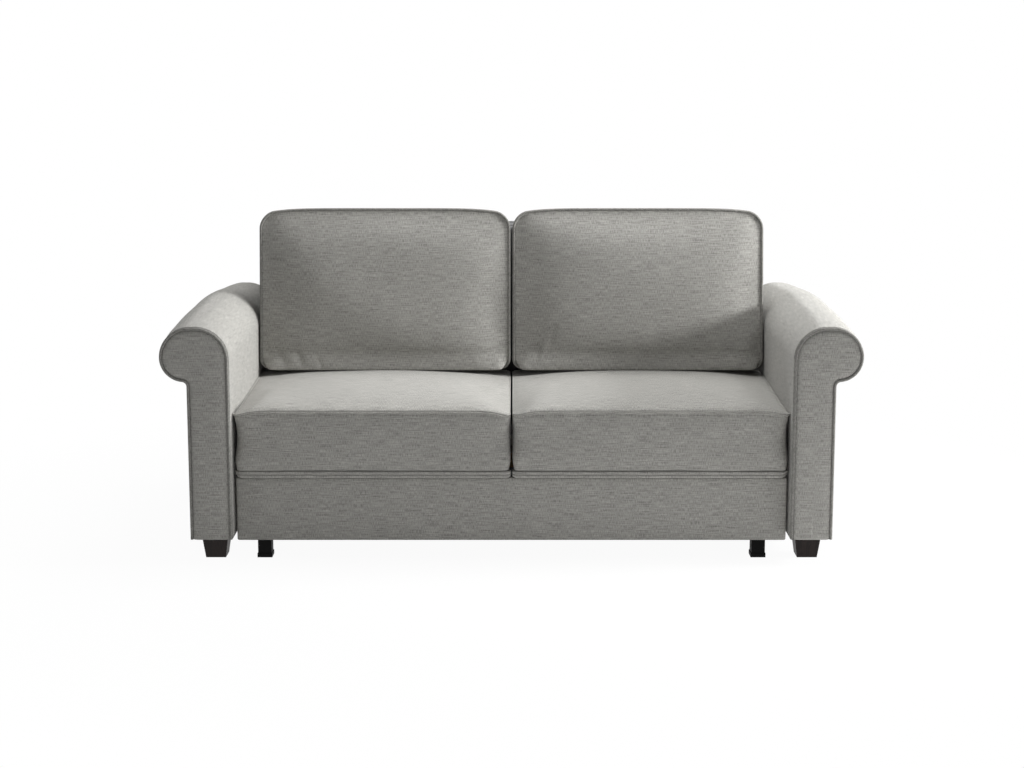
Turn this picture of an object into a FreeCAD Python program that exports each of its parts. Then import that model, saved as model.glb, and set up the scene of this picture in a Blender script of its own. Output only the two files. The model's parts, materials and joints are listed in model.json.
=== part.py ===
import FreeCAD, Part
import math
import os

import Sketcher

# Two-seat sleeper sofa. Millimetres, +Z up, the front faces -Y, and the origin
# is on the floor under the middle of the closed sofa.
# The seat, with its base panel and front legs, rolls forward out of the carcass
# and draws two folded bed sections down flat behind it.

driving = {
    # carcass
    "overall_width": 2030,
    "overall_depth": 1020,
    "arm_width": 199,
    "arm_height": 701,
    "scroll_radius": 88,
    "scroll_under_radius": 71,
    "scroll_inner_radius": 95,
    "scroll_neck_radius": 14,
    "stump_width": 122,
    "arm_facing_thickness": 8.5,
    "arm_piping_radius": 4,
    "piping_clearance": 0.3,
    "arm_padding": 22,
    "arm_frame_height": 526,
    "arm_frame_board": 15,
    "arm_frame_end_cover": 9,
    "back_thickness": 36,
    "back_height": 905,
    "back_padding": 9,
    "side_clearance": 0.3,
    "stretcher_depth": 220,
    "stretcher_board": 18,
    "stretcher_level": 84,
    # wooden feet
    "foot_height": 74,
    "foot_top_width": 79,
    "foot_bottom_width": 59,
    "foot_end_inset": 61,
    "foot_bolt_radius": 4,
    "foot_bolt_length": 45,
    "back_bolt_radius": 5,
    "back_bolt_length": 90,
    "back_bolt_low": 200,
    "back_bolt_pitch": 200,
    "bolt_clearance": 0.1,
    # folding bed
    "bed_level": 448,
    "bed_thickness": 108,
    "fold_length": 575,
    "fold_angle": 89,
    "bed_back_clearance": 6,
    "bed_groove": 32,
    "bed_side_gap": 58,
    "head_overhang": 60,
    "head_frame_overhang": 35,
    "middle_frame_overhang": 75,
    "fold_end_gap": 1.5,
    "mattress_edge_radius": 45,
    "mattress_fold_radius": 14,
    "cushion_rest_gap": 0.3,
    "frame_lift": 3,
    "tube_size": 25,
    "tube_wall": 2,
    "slat_count": 14,
    "slat_width": 60,
    "slat_thickness": 8,
    "slat_cap_length": 24,
    "slat_cap_wall": 4,
    "slat_cap_floor": 3,
    "slat_fit": 0.1,
    # hinges
    "ear_radius": 9,
    "pivot_pin_radius": 5,
    "running_clearance": 0.05,
    "plate_thickness": 5,
    "plate_gap": 1,
    "plate_length": 60,
    "pin_head_radius": 8,
    "pin_head_height": 4,
    "pin_end_gap": 0.5,
    "bracket_gap": 8,
    "bracket_height": 120,
    "bracket_depth": 70,
    "bracket_bolt_radius": 4,
    "bracket_bolt_length": 40,
    # support leg of the head section
    "leg_pivot_setback": 45,
    "leg_pivot_rise": 14,
    "leg_tube_radius": 10,
    "leg_post_inset": 176,
    "leg_crossbar_height": 70,
    "leg_foot_radius": 14,
    "leg_foot_height": 22,
    "leg_axle_gap": 3,
    "leg_pin_length": 40,
    # seat section
    "seat_side_gap": 5,
    "seat_front_inset": 39,
    "seat_centre_gap": 2.5,
    "seat_welt_level": 444,
    "seat_crown_level": 469,
    "seat_frame_bottom": 236,
    "seat_tube_height": 30,
    "seat_tube_gap": 52,
    "seat_rail_gap": 96,
    "seat_slat_count": 14,
    "base_front_inset": 52,
    "base_thickness": 20,
    "base_bottom": 57,
    "base_top": 247,
    "base_side_gap": 6,
    "base_seam_width": 2,
    "base_seam_depth": 2.5,
    "lip_front_inset": 38,
    "lip_bottom": 249,
    "lip_top": 272,
    "lip_depth": 38,
    "front_leg_size": 40,
    "front_leg_inset": 84,
    "front_cap_size": 44,
    "front_cap_height": 12,
    "hinge_arm_thickness": 6,
    "hinge_arm_reach": 150,
    "rear_leg_size": 30,
    "roller_radius": 30,
    "roller_width": 24,
    "roller_axle_radius": 4,
    "roller_side_gap": 1,
    "fork_thickness": 4,
    "fork_top": 72,
    "fork_ear_radius": 9,
    # back cushions
    "back_cushion_gap": 3,
    "back_cushion_side_gap": 4,
    "back_cushion_depth": 138,
    "back_cushion_length": 520,
    "back_cushion_lean": 7,
    "back_cushion_clearance": 3,
    "cushion_piping_radius": 4.5,
    "cushion_top_radius": 45,
    "cushion_bottom_radius": 28,
}

doc = FreeCAD.newDocument("SleeperSofa")
sheet = doc.addObject("Spreadsheet::Sheet", "Sizes")
for row, (alias, number) in enumerate(driving.items(), 1):
    sheet.set(f"A{row}", alias)
    sheet.set(f"B{row}", str(number))
    sheet.setAlias(f"B{row}", alias)
doc.recompute()
places = doc.addObject("App::VarSet", "Places")


class Size:
    """A length with the expression that gives it, so that both stay together."""

    def __init__(self, value, text):
        self.value = value
        self.text = text

    def __add__(self, other):
        other = as_size(other)
        return Size(self.value + other.value, f"({self.text} + {other.text})")

    def __sub__(self, other):
        other = as_size(other)
        return Size(self.value - other.value, f"({self.text} - {other.text})")

    def __mul__(self, other):
        other = as_size(other)
        return Size(self.value * other.value, f"({self.text} * {other.text})")

    def __truediv__(self, other):
        other = as_size(other)
        return Size(self.value / other.value, f"({self.text} / {other.text})")

    def __neg__(self):
        return Size(-self.value, f"(-1 * {self.text})")

    def __radd__(self, other):
        return as_size(other) + self

    def __rsub__(self, other):
        return as_size(other) - self

    def __rmul__(self, other):
        return as_size(other) * self


def as_size(number):
    return number if isinstance(number, Size) else Size(float(number), str(float(number)))


def cosine(angle):
    return Size(math.cos(math.radians(angle.value)), f"cos({angle.text} * 1 deg)")


def sine(angle):
    return Size(math.sin(math.radians(angle.value)), f"sin({angle.text} * 1 deg)")


def root(size):
    return Size(math.sqrt(size.value), f"sqrt({size.text})")


class Sheet:
    """Gives each driving value of the sheet by its alias."""

    def __getattr__(self, alias):
        return Size(float(driving[alias]), "Sizes." + alias)


size = Sheet()


def place(name, value):
    """Keeps a worked-out place in the document under its own name."""
    places.addProperty("App::PropertyFloat", name, "Places")
    places.setExpression(name, value.text)
    return Size(value.value, "Places." + name)


# Places that several pieces share
half_width = size.overall_width / 2
inner_half_width = place("inner_half_width", half_width - size.arm_width)
bed_half_width = place("bed_half_width", inner_half_width - size.bed_side_gap)
seat_half_width = place("seat_half_width", inner_half_width - size.seat_side_gap)
base_half_width = place("base_half_width", inner_half_width - size.base_side_gap)
back_cushion_outer = place("back_cushion_outer", inner_half_width - size.back_cushion_side_gap)
seat_tube_end = place("seat_tube_end", inner_half_width - size.seat_tube_gap)
seat_rail_inside = place("seat_rail_inside", inner_half_width - size.seat_rail_gap)
front_leg_offset = place("front_leg_offset", inner_half_width - size.front_leg_inset)
leg_post_offset = place("leg_post_offset", inner_half_width - size.leg_post_inset)
front = place("front", -size.overall_depth / 2)
back = place("back", size.overall_depth / 2)
back_face = place("back_face", back - size.back_thickness)
stump_outside = place("stump_outside", inner_half_width + size.stump_width)
stump_middle = place("stump_middle", inner_half_width + size.stump_width / 2)
cover_front = place("cover_front", front + size.arm_facing_thickness + size.piping_clearance)

pivot_level = place("pivot_level", size.bed_level - size.bed_thickness)
fold_cos = place("fold_cos", cosine(size.fold_angle))
fold_sin = place("fold_sin", sine(size.fold_angle))
head_pivot = place("head_pivot", back_face - size.bed_back_clearance - size.bed_thickness)
seat_pivot = place("seat_pivot", head_pivot - 2 * size.fold_length * fold_cos)
seat_back = place("seat_back", seat_pivot - size.bed_thickness - size.bed_groove)

frame_low = size.frame_lift
frame_high = size.frame_lift + size.tube_size
slat_low = frame_high + size.slat_cap_floor
slat_high = slat_low + size.slat_thickness
mattress_low = place("mattress_low", slat_high + size.cushion_rest_gap)
fold_end = place("fold_end", size.fold_length - size.fold_end_gap)
tube_inside = place("tube_inside", bed_half_width - size.tube_size)

inner_plate = bed_half_width
inner_plate_out = place("inner_plate_out", inner_plate + size.plate_thickness)
outer_plate = place("outer_plate", inner_plate_out + size.plate_gap)
bracket_ear = place("bracket_ear", outer_plate + size.bracket_gap)
pin_hole = place("pin_hole", size.pivot_pin_radius + size.running_clearance)

seat_frame_top = place("seat_frame_top", size.seat_frame_bottom + size.seat_tube_height)
seat_slat_top = place("seat_slat_top", seat_frame_top + size.slat_thickness)
seat_front = place("seat_front", front + size.seat_front_inset)
back_cushion_base = place("back_cushion_base", size.seat_crown_level + size.cushion_rest_gap)
back_cushion_rear = place("back_cushion_rear", seat_pivot - size.bed_thickness - size.back_cushion_clearance)
back_cushion_front = place("back_cushion_front", back_cushion_rear - size.back_cushion_depth)
lip_back = place("lip_back", front + size.lip_front_inset + size.lip_depth)
base_back = place("base_back", front + size.base_front_inset + size.base_thickness)
doc.recompute()

nodes = []


def node(piece, name):
    """Names a finished sub-part, which is written to its own file."""
    piece.Label = name
    nodes.append(piece)
    return piece


def bind(piece, prop, value):
    piece.setExpression(prop, as_size(value).text)


def box(name, x, y, z):
    """A block between three pairs of limits."""
    piece = doc.addObject("Part::Box", name)
    for prop, axis, (low, high) in (("Length", "x", x), ("Width", "y", y), ("Height", "z", z)):
        bind(piece, prop, as_size(high) - low)
        bind(piece, "Placement.Base." + axis, low)
    return piece


def rod(name, axis, radius, start, length):
    """A cylinder from a start point along +X or +Z."""
    piece = doc.addObject("Part::Cylinder", name)
    if axis == "x":
        piece.Placement.Rotation = FreeCAD.Rotation(FreeCAD.Vector(0, 1, 0), 90)
    bind(piece, "Radius", radius)
    bind(piece, "Height", length)
    for letter, value in zip("xyz", start):
        bind(piece, "Placement.Base." + letter, value)
    return piece


def cut(name, base, tool):
    piece = doc.addObject("Part::Cut", name)
    piece.Base = base
    piece.Tool = tool
    return piece


def fuse(name, pieces):
    piece = doc.addObject("Part::MultiFuse", name)
    piece.Shapes = pieces
    return piece


def group(name, pieces):
    piece = doc.addObject("Part::Compound", name)
    piece.Links = pieces
    return piece


def mirrored(name, source):
    """The same piece on the left side."""
    piece = doc.addObject("Part::Mirroring", name)
    piece.Source = source
    piece.Normal = FreeCAD.Vector(1, 0, 0)
    return piece


def both_sides(name, source):
    return group(name, [source, mirrored(name + "_left", source)])


def draw(sketch, outline, closed=True):
    """Draws an outline of corners (x, y), or (x, y, radius, side) where an arc leaves the corner.

    side is +1 where the arc's centre lies to the left of the way on, and -1 to the right.
    """
    corners = [(as_size(corner[0]), as_size(corner[1])) for corner in outline]
    count = len(outline)
    last = count if closed else count - 1
    ends = []
    for index in range(last):
        corner, following = corners[index], corners[(index + 1) % count]
        first = FreeCAD.Vector(corner[0].value, corner[1].value, 0)
        second = FreeCAD.Vector(following[0].value, following[1].value, 0)
        if len(outline[index]) == 2:
            sketch.addGeometry(Part.LineSegment(first, second))
            ends.append((1, 2))
            continue
        radius, side = as_size(outline[index][2]), outline[index][3]
        chord = second - first
        reach = math.sqrt(radius.value ** 2 - (chord.Length / 2) ** 2)
        square = FreeCAD.Vector(-chord.y, chord.x, 0).normalize()
        centre = (first + second) * 0.5 + square * (side * reach)
        start, stop = (first, second) if side > 0 else (second, first)
        angles = [math.atan2(point.y - centre.y, point.x - centre.x) for point in (start, stop)]
        circle = Part.Circle(centre, FreeCAD.Vector(0, 0, 1), radius.value)
        sketch.addGeometry(Part.ArcOfCircle(circle, angles[0], angles[1]))
        ends.append((1, 2) if side > 0 else (2, 1))
        constrain(sketch, f"radius{index}", ("Radius", index, radius.value), radius)
    for index in range(last if closed else last - 1):
        after = (index + 1) % last
        sketch.addConstraint(Sketcher.Constraint("Coincident", index, ends[index][1], after, ends[after][0]))
    for index in range(count):
        segment, end = (index, ends[index][0]) if index < last else (last - 1, ends[last - 1][1])
        for letter, value in zip("XY", corners[index]):
            law = ("Distance" + letter, -1, 1, segment, end, value.value)
            constrain(sketch, f"{letter.lower()}{index}", law, value)


def constrain(sketch, name, law, value):
    number = sketch.addConstraint(Sketcher.Constraint(*law))
    sketch.renameConstraint(number, name)
    sketch.setExpression("Constraints." + name, value.text)


def add_circle(sketch, name, x, y, radius):
    values = [as_size(x), as_size(y), as_size(radius)]
    centre = FreeCAD.Vector(values[0].value, values[1].value, 0)
    index = sketch.addGeometry(Part.Circle(centre, FreeCAD.Vector(0, 0, 1), values[2].value))
    constrain(sketch, name + "_x", ("DistanceX", -1, 1, index, 3, centre.x), values[0])
    constrain(sketch, name + "_y", ("DistanceY", -1, 1, index, 3, centre.y), values[1])
    constrain(sketch, name + "_r", ("Radius", index, values[2].value), values[2])


def pad(name, plane, outlines, start, stop, circles=()):
    """Pads outlines drawn on an origin plane between two places along the plane's normal."""
    body = doc.addObject("PartDesign::Body", name)
    sketch = body.newObject("Sketcher::SketchObject", name + "_sketch")
    support = [item for item in body.Origin.OriginFeatures if item.Role == plane][0]
    sketch.AttachmentSupport = [(support, "")]
    sketch.MapMode = "FlatFace"
    bind(sketch, "AttachmentOffset.Base.z", start)
    if len(outlines) == 1:
        draw(sketch, outlines[0])
    else:
        draw_nested(sketch, outlines)
    for index, circle in enumerate(circles):
        add_circle(sketch, f"hole{index}", *circle)
    feature = body.newObject("PartDesign::Pad", name + "_pad")
    feature.Profile = sketch
    bind(feature, "Length", as_size(stop) - start)
    return body


def draw_nested(sketch, outlines):
    """Draws straight-sided outlines inside each other, as the wall of a tube."""
    for number, outline in enumerate(outlines):
        base = sketch.GeometryCount
        count = len(outline)
        corners = [(as_size(x), as_size(y)) for x, y in outline]
        points = [FreeCAD.Vector(x.value, y.value, 0) for x, y in corners]
        for index in range(count):
            sketch.addGeometry(Part.LineSegment(points[index], points[(index + 1) % count]))
        for index in range(count):
            after = base + (index + 1) % count
            sketch.addConstraint(Sketcher.Constraint("Coincident", base + index, 2, after, 1))
            for letter, value in zip("XY", corners[index]):
                law = ("Distance" + letter, -1, 1, base + index, 1, value.value)
                constrain(sketch, f"{letter.lower()}{number}_{index}", law, value)


def rectangle(x, y):
    return [(x[0], y[0]), (x[1], y[0]), (x[1], y[1]), (x[0], y[1])]


def tube(name, axis, across, up, span):
    """A square tube along X or Y; span is its run, across and up are its outer limits."""
    wall = size.tube_wall
    across = [as_size(value) for value in across]
    up = [as_size(value) for value in up]
    bore = rectangle((across[0] + wall, across[1] - wall), (up[0] + wall, up[1] - wall))
    outlines = [rectangle(across, up), bore]
    if axis == "x":
        return pad(name, "YZ_Plane", outlines, span[0], span[1])
    return pad(name, "XZ_Plane", outlines, -as_size(span[1]), -as_size(span[0]))


# Arm: one outline serves the cover, the facing board and the piping
def arm_outline(inset):
    """The rolled arm seen from the front, from its inner foot round the scroll to its outer foot."""
    inner = inner_half_width + inset
    top = size.arm_height - inset
    inner_radius = size.scroll_inner_radius - inset
    inner_centre = inner_half_width + size.scroll_inner_radius
    scroll_level = size.arm_height - size.scroll_radius
    scroll_centre = half_width - size.scroll_radius
    under_centre = half_width - size.scroll_under_radius
    neck_centre = stump_outside + size.scroll_neck_radius
    reach = size.scroll_under_radius + size.scroll_neck_radius
    run = neck_centre - under_centre
    drop = root(reach * reach - run * run)
    under = size.scroll_under_radius - inset
    share = under / reach
    return [
        (inner, size.foot_height),
        (inner, size.arm_height - size.scroll_inner_radius, inner_radius, -1),
        (inner_centre, top),
        (scroll_centre, top, size.scroll_radius - inset, -1),
        (half_width - inset, scroll_level, under, -1),
        (under_centre + run * share, scroll_level - drop * share, size.scroll_neck_radius + inset, 1),
        (stump_outside - inset, scroll_level - drop),
        (stump_outside - inset, size.foot_height),
    ]


def arm_pieces():
    margin = size.arm_padding
    board = size.arm_frame_board
    x = (inner_half_width + margin, stump_outside - margin)
    y = (front + margin, back - size.arm_frame_end_cover)
    z = (size.foot_height, size.foot_height + size.arm_frame_height)
    outer = box("arm_frame_blank", x, y, z)
    hollow_z = (z[0] + board, z[1] - board)
    hollow = box("arm_frame_hollow", (x[0] + board, x[1] - board), (y[0] + board, y[1] - board), hollow_z)
    holes = group("arm_frame_holes", foot_bolts(size.bolt_clearance, "arm_hole") + [
        back_bolt_row("arm_back_hole", size.bolt_clearance),
        bracket_bolt_row("arm_bracket_hole", size.bolt_clearance)])
    frame = cut("right_arm_frame", cut("arm_frame_box", outer, hollow), holes)

    profile = pad("arm_cover_blank", "XZ_Plane", [arm_outline(as_size(0))], -back, -cover_front)
    fit = size.side_clearance
    pocket = box("arm_cover_pocket", (x[0] - fit, x[1] + fit), (y[0] - fit, y[1] + fit), (z[0], z[1] + fit))
    cover_holes = group("arm_cover_holes", [
        back_bolt_row("cover_back_hole", size.bolt_clearance),
        bracket_bolt_row("cover_bracket_hole", size.bolt_clearance)])
    cover = cut("right_arm_cover", cut("arm_cover_shell", profile, pocket), cover_holes)

    facing_inset = 2 * size.arm_piping_radius + size.piping_clearance
    facing = pad("right_arm_facing", "XZ_Plane", [arm_outline(facing_inset)],
                 -(front + size.arm_facing_thickness), -front)

    path = doc.addObject("Sketcher::SketchObject", "arm_piping_path")
    path.Placement.Rotation = FreeCAD.Rotation(FreeCAD.Vector(1, 0, 0), 90)
    piping_front = front + size.arm_facing_thickness - size.arm_piping_radius
    bind(path, "Placement.Base.y", piping_front)
    draw(path, arm_outline(size.arm_piping_radius), closed=False)
    start = (inner_half_width + size.arm_piping_radius, piping_front, size.foot_height)
    piping = sweep("right_arm_piping", path, size.arm_piping_radius, start, None)

    for name, piece in (("arm_frame", frame), ("arm_cover", cover),
                        ("arm_facing", facing), ("arm_piping", piping)):
        node(piece, "right_" + name)
        node(mirrored("left_" + name, piece), "left_" + name)


def sweep(name, path, radius, start, turn):
    """A round cord of one radius along a drawn path, which starts at the point start."""
    circle = doc.addObject("Part::Circle", name + "_section")
    bind(circle, "Radius", radius)
    if turn:
        circle.Placement.Rotation = turn
    for letter, value in zip("xyz", start):
        bind(circle, "Placement.Base." + letter, value)
    piece = doc.addObject("Part::Sweep", name)
    doc.recompute()
    piece.Sections = [circle]
    piece.Spine = (path, [f"Edge{number + 1}" for number in range(len(path.Shape.Edges))])
    piece.Solid = True
    return piece


# Wooden feet and the bolts that hold them
def foot_places():
    inset = size.foot_end_inset + size.foot_top_width / 2
    return [("front", front + inset), ("rear", back - inset)]


def foot_bolts(extra, name):
    bottom = size.foot_height + size.arm_frame_board - size.foot_bolt_length
    return [rod(f"{name}_{place_name}", "z", size.foot_bolt_radius + extra,
                (stump_middle, y, bottom), size.foot_bolt_length) for place_name, y in foot_places()]


def feet():
    half_top = size.foot_top_width / 2
    half_bottom = size.foot_bottom_width / 2
    holes = foot_bolts(size.bolt_clearance, "foot_hole")
    for (place_name, y), hole in zip(foot_places(), holes):
        block = doc.addObject("Part::Wedge", place_name + "_foot_block")
        block.Placement.Rotation = FreeCAD.Rotation(FreeCAD.Vector(1, 0, 0), 90)
        values = {"Xmin": -half_bottom, "Xmax": half_bottom, "Zmin": -half_bottom, "Zmax": half_bottom,
                  "X2min": -half_top, "X2max": half_top, "Z2min": -half_top, "Z2max": half_top,
                  "Ymin": 0, "Ymax": size.foot_height,
                  "Placement.Base.x": stump_middle, "Placement.Base.y": y}
        for prop, value in values.items():
            bind(block, prop, value)
        foot = cut(f"{place_name}_right_foot", block, hole)
        node(both_sides(f"{place_name}_feet", foot), f"{place_name}_feet")
    bolts = group("right_foot_bolts", foot_bolts(as_size(0), "foot_bolt"))
    node(both_sides("foot_bolts", bolts), "foot_bolts")


# Upholstered back, between the arms
def back_bolt_row(name, extra):
    middle = back - size.back_thickness / 2
    start = inner_half_width + size.arm_padding + size.arm_frame_board * 2 - size.back_bolt_length
    bolts = []
    for step in range(3):
        level = size.back_bolt_low + step * size.back_bolt_pitch
        bolts.append(rod(f"{name}_{step}", "x", size.back_bolt_radius + extra,
                         (start - extra, middle, level), size.back_bolt_length + 2 * extra))
    return group(name, bolts)


def back_pieces():
    half = inner_half_width - size.side_clearance
    padding = size.back_padding
    board_half = half - padding
    board_y = (back_face + padding, back - padding)
    board_top = size.back_height - padding
    board = box("back_frame_board", (-board_half, board_half), board_y, (size.foot_height, board_top))
    frame_holes = both_sides("back_frame_holes", back_bolt_row("board_hole", size.bolt_clearance))
    node(cut("back_frame", board, frame_holes), "back_frame")
    shell = box("back_cover_blank", (-half, half), (back_face, back), (size.foot_height, size.back_height))
    fit = size.side_clearance
    pocket = box("back_cover_pocket", (-board_half - fit, board_half + fit),
                 (board_y[0] - fit, board_y[1] + fit), (size.foot_height, board_top + fit))
    cover_holes = both_sides("back_cover_holes", back_bolt_row("back_cover_hole", size.bolt_clearance))
    node(cut("back_cover", cut("back_cover_shell", shell, pocket), cover_holes), "back_cover")
    node(both_sides("back_bolts", back_bolt_row("back_bolt", as_size(0))), "back_bolts")
    stretcher = box("rear_stretcher", (-half, half), (back_face - size.stretcher_depth, back_face),
                    (size.stretcher_level, size.stretcher_level + size.stretcher_board))
    node(stretcher, "rear_stretcher")


# Brackets on the arms that carry the head section's pivots
def bracket_bolt_row(name, extra):
    start = inner_half_width - size.plate_thickness
    y = head_pivot + size.bracket_depth / 2
    levels = (pivot_level - size.bracket_height / 4, pivot_level + size.bracket_height / 2)
    return group(name, [rod(f"{name}_{index}", "x", size.bracket_bolt_radius + extra,
                            (start, y, level), size.bracket_bolt_length + extra)
                        for index, level in enumerate(levels)])


def hinge_brackets():
    ear = size.ear_radius
    depth = (head_pivot - ear, head_pivot + size.bracket_depth)
    top = pivot_level + size.bracket_height * 3 / 4
    low = pivot_level - size.bracket_height / 2
    outline = [(depth[0], pivot_level - ear), (depth[1], pivot_level - ear),
               (depth[1], pivot_level + size.bracket_height / 4), (depth[0], pivot_level + ear)]
    ear_plate = pad("bracket_ear_plate", "YZ_Plane", [outline], bracket_ear,
                    bracket_ear + size.hinge_arm_thickness, [(head_pivot, pivot_level, pin_hole)])
    arm_side = (inner_half_width - size.plate_thickness, inner_half_width)
    flange = box("bracket_flange", arm_side, (head_pivot, depth[1]), (low, top))
    web_x = (bracket_ear + size.hinge_arm_thickness, arm_side[0])
    web_z = (pivot_level - ear, pivot_level - ear + size.plate_thickness)
    web = box("bracket_web", web_x, (head_pivot + 2 * ear, depth[1]), web_z)
    holes = bracket_bolt_row("bracket_hole", size.bolt_clearance)
    whole = fuse("bracket_plates", [ear_plate, flange, web])
    bracket = cut("right_hinge_bracket", whole, holes)
    node(bracket, "right_hinge_bracket")
    node(mirrored("left_hinge_bracket", bracket), "left_hinge_bracket")

    heads = group("bracket_bolt_heads", [
        rod(f"bracket_bolt_head_{index}", "x", size.pin_head_radius,
            (arm_side[0] - size.pin_head_height, head_pivot + size.bracket_depth / 2, level),
            size.pin_head_height)
        for index, level in enumerate((pivot_level - size.bracket_height / 4,
                                       pivot_level + size.bracket_height / 2))])
    bolts = fuse("right_bracket_bolts", [heads, bracket_bolt_row("bracket_bolt", as_size(0))])
    node(both_sides("bracket_bolts", bolts), "bracket_bolts")

    start = inner_plate + size.pin_end_gap
    stop = bracket_ear + size.hinge_arm_thickness
    pin = hinge_pin("right_head_pivot_pin", head_pivot, pivot_level, start, stop)
    sleeve_x = inner_plate_out + size.pin_end_gap
    sleeve = rod("head_pivot_sleeve", "x", size.pivot_pin_radius + 2, (sleeve_x, head_pivot, pivot_level),
                 bracket_ear - sleeve_x)
    node(both_sides("head_pivot_pins", fuse("head_pivot_pin_whole", [pin, sleeve])), "head_pivot_pins")


def hinge_pin(name, y, z, start, stop):
    """A shoulder pin whose head lies outside the outer plate."""
    shank = rod(name + "_shank", "x", size.pivot_pin_radius, (start, y, z), stop - start + size.pin_end_gap)
    head = rod(name + "_head", "x", size.pin_head_radius, (stop + size.pin_end_gap, y, z),
               size.pin_head_height)
    return fuse(name, [shank, head])


# The two folding bed sections. Each is drawn lying flat, with its own pivot at the origin,
# and is then turned up about that pivot. along is -1 where the section runs forward.
class Section:
    def __init__(self, name, pivot, along, frame_overhang, mattress_overhang):
        self.name = name
        self.pivot = pivot
        self.along = along
        self.frame_start = -frame_overhang
        self.mattress_start = -mattress_overhang

    def span(self, start, stop):
        """Limits along Y of a run that is measured from the section's pivot."""
        if self.along > 0:
            return (as_size(start), as_size(stop))
        return (-as_size(stop), -as_size(start))

    def stand(self, piece, suffix):
        """Turns a piece up to the folded position and names it."""
        turn = size.fold_angle * self.along
        turned = FreeCAD.Rotation(FreeCAD.Vector(1, 0, 0), turn.value)
        piece.Placement = FreeCAD.Placement(FreeCAD.Vector(), turned)
        bind(piece, "Placement.Base.y", self.pivot)
        bind(piece, "Placement.Base.z", pivot_level)
        piece.setExpression("Placement.Rotation.Angle", turn.text + " * 1 deg")
        return node(piece, f"{self.name}_{suffix}")

    def frame(self):
        name = self.name
        run = self.span(self.frame_start, fold_end)
        up = (frame_low, frame_high)
        rail = tube(name + "_rail", "y", (tube_inside, bed_half_width), up, run)
        self.stand(both_sides(name + "_side_rails", rail), "side_rails")
        ends = (self.span(self.frame_start, self.frame_start + size.tube_size),
                self.span(fold_end - size.tube_size, fold_end))
        tubes = [tube(f"{name}_end_tube_{index}", "x", end, up, (-tube_inside, tube_inside))
                 for index, end in enumerate(ends)]
        self.stand(group(name + "_cross_tubes", tubes), "cross_tubes")

    def slats(self):
        name = self.name
        pitch = 2 * (tube_inside - size.slat_width / 2 - size.slat_cap_wall) / (size.slat_count - 1)
        run = self.span(self.frame_start, fold_end)
        cap_runs = (self.span(self.frame_start, self.frame_start + size.slat_cap_length),
                    self.span(fold_end - size.slat_cap_length, fold_end))
        slats, slots, caps = [], [], []
        fit = size.slat_fit
        for index in range(int(size.slat_count.value)):
            middle = pitch * (index - (int(size.slat_count.value) - 1) / 2)
            x = (middle - size.slat_width / 2, middle + size.slat_width / 2)
            slats.append(box(f"{name}_slat_{index}", x, run, (slat_low, slat_high)))
            slots.append(box(f"{name}_slot_{index}", (x[0] - fit, x[1] + fit), run, (slat_low, slat_high)))
            cap_x = (x[0] - size.slat_cap_wall, x[1] + size.slat_cap_wall)
            for end, cap_run in enumerate(cap_runs):
                caps.append(box(f"{name}_cap_{index}_{end}", cap_x, cap_run,
                                (frame_high, slat_high - size.slat_fit)))
        self.stand(group(name + "_slats", slats), "slats")
        cap_group = group(name + "_cap_blanks", caps)
        slot_group = group(name + "_cap_slots", slots)
        self.stand(cut(name + "_slat_caps", cap_group, slot_group), "slat_caps")

    def mattress(self):
        """Foam block with a large round at its free end, so that it clears what it turns past."""
        edge, fold = size.mattress_edge_radius, size.mattress_fold_radius
        start, stop, top = self.mattress_start, fold_end, size.bed_thickness
        free = [(start, mattress_low), (start, top - edge, edge, -1), (start + edge, top)]
        fold_side = [(stop - fold, top, fold, -1), (stop, top - fold), (stop, mattress_low)]
        side = self.along
        outline = []
        for corner in free + fold_side:
            point = (corner[0] * side, as_size(corner[1]))
            outline.append(point if len(corner) == 2 else point + (corner[2], -side))
        half = bed_half_width
        body = pad(self.name + "_mattress", "YZ_Plane", [outline], -half, half)
        self.stand(body, "mattress")

    def plate(self, name, x, near_fold, spacer=None):
        """A hinge plate on the side rail, with its ear round the pivot line."""
        ear = size.ear_radius
        centre = size.fold_length if near_fold else as_size(0)
        way = -1 if near_fold else 1
        reach = [centre - ear * way, centre + ear * way, centre + (ear + size.frame_lift * 2) * way,
                 centre + size.plate_length * way]
        points = [(reach[0], -ear), (reach[1], -ear), (reach[2], frame_low), (reach[3], frame_low),
                  (reach[3], frame_high), (reach[0], frame_high)]
        outline = [(along * self.along, as_size(up)) for along, up in points]
        hole = (centre * self.along, as_size(0), pin_hole)
        plate = pad(name, "YZ_Plane", [outline], x, x + size.plate_thickness, [hole])
        if not spacer:
            return plate
        run = self.span(centre - size.plate_length, centre - 2 * ear - size.frame_lift)
        block = box(name + "_spacer", (inner_plate, x), run, (frame_low + 2, frame_high))
        return fuse(name + "_with_spacer", [plate, block])


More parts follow.
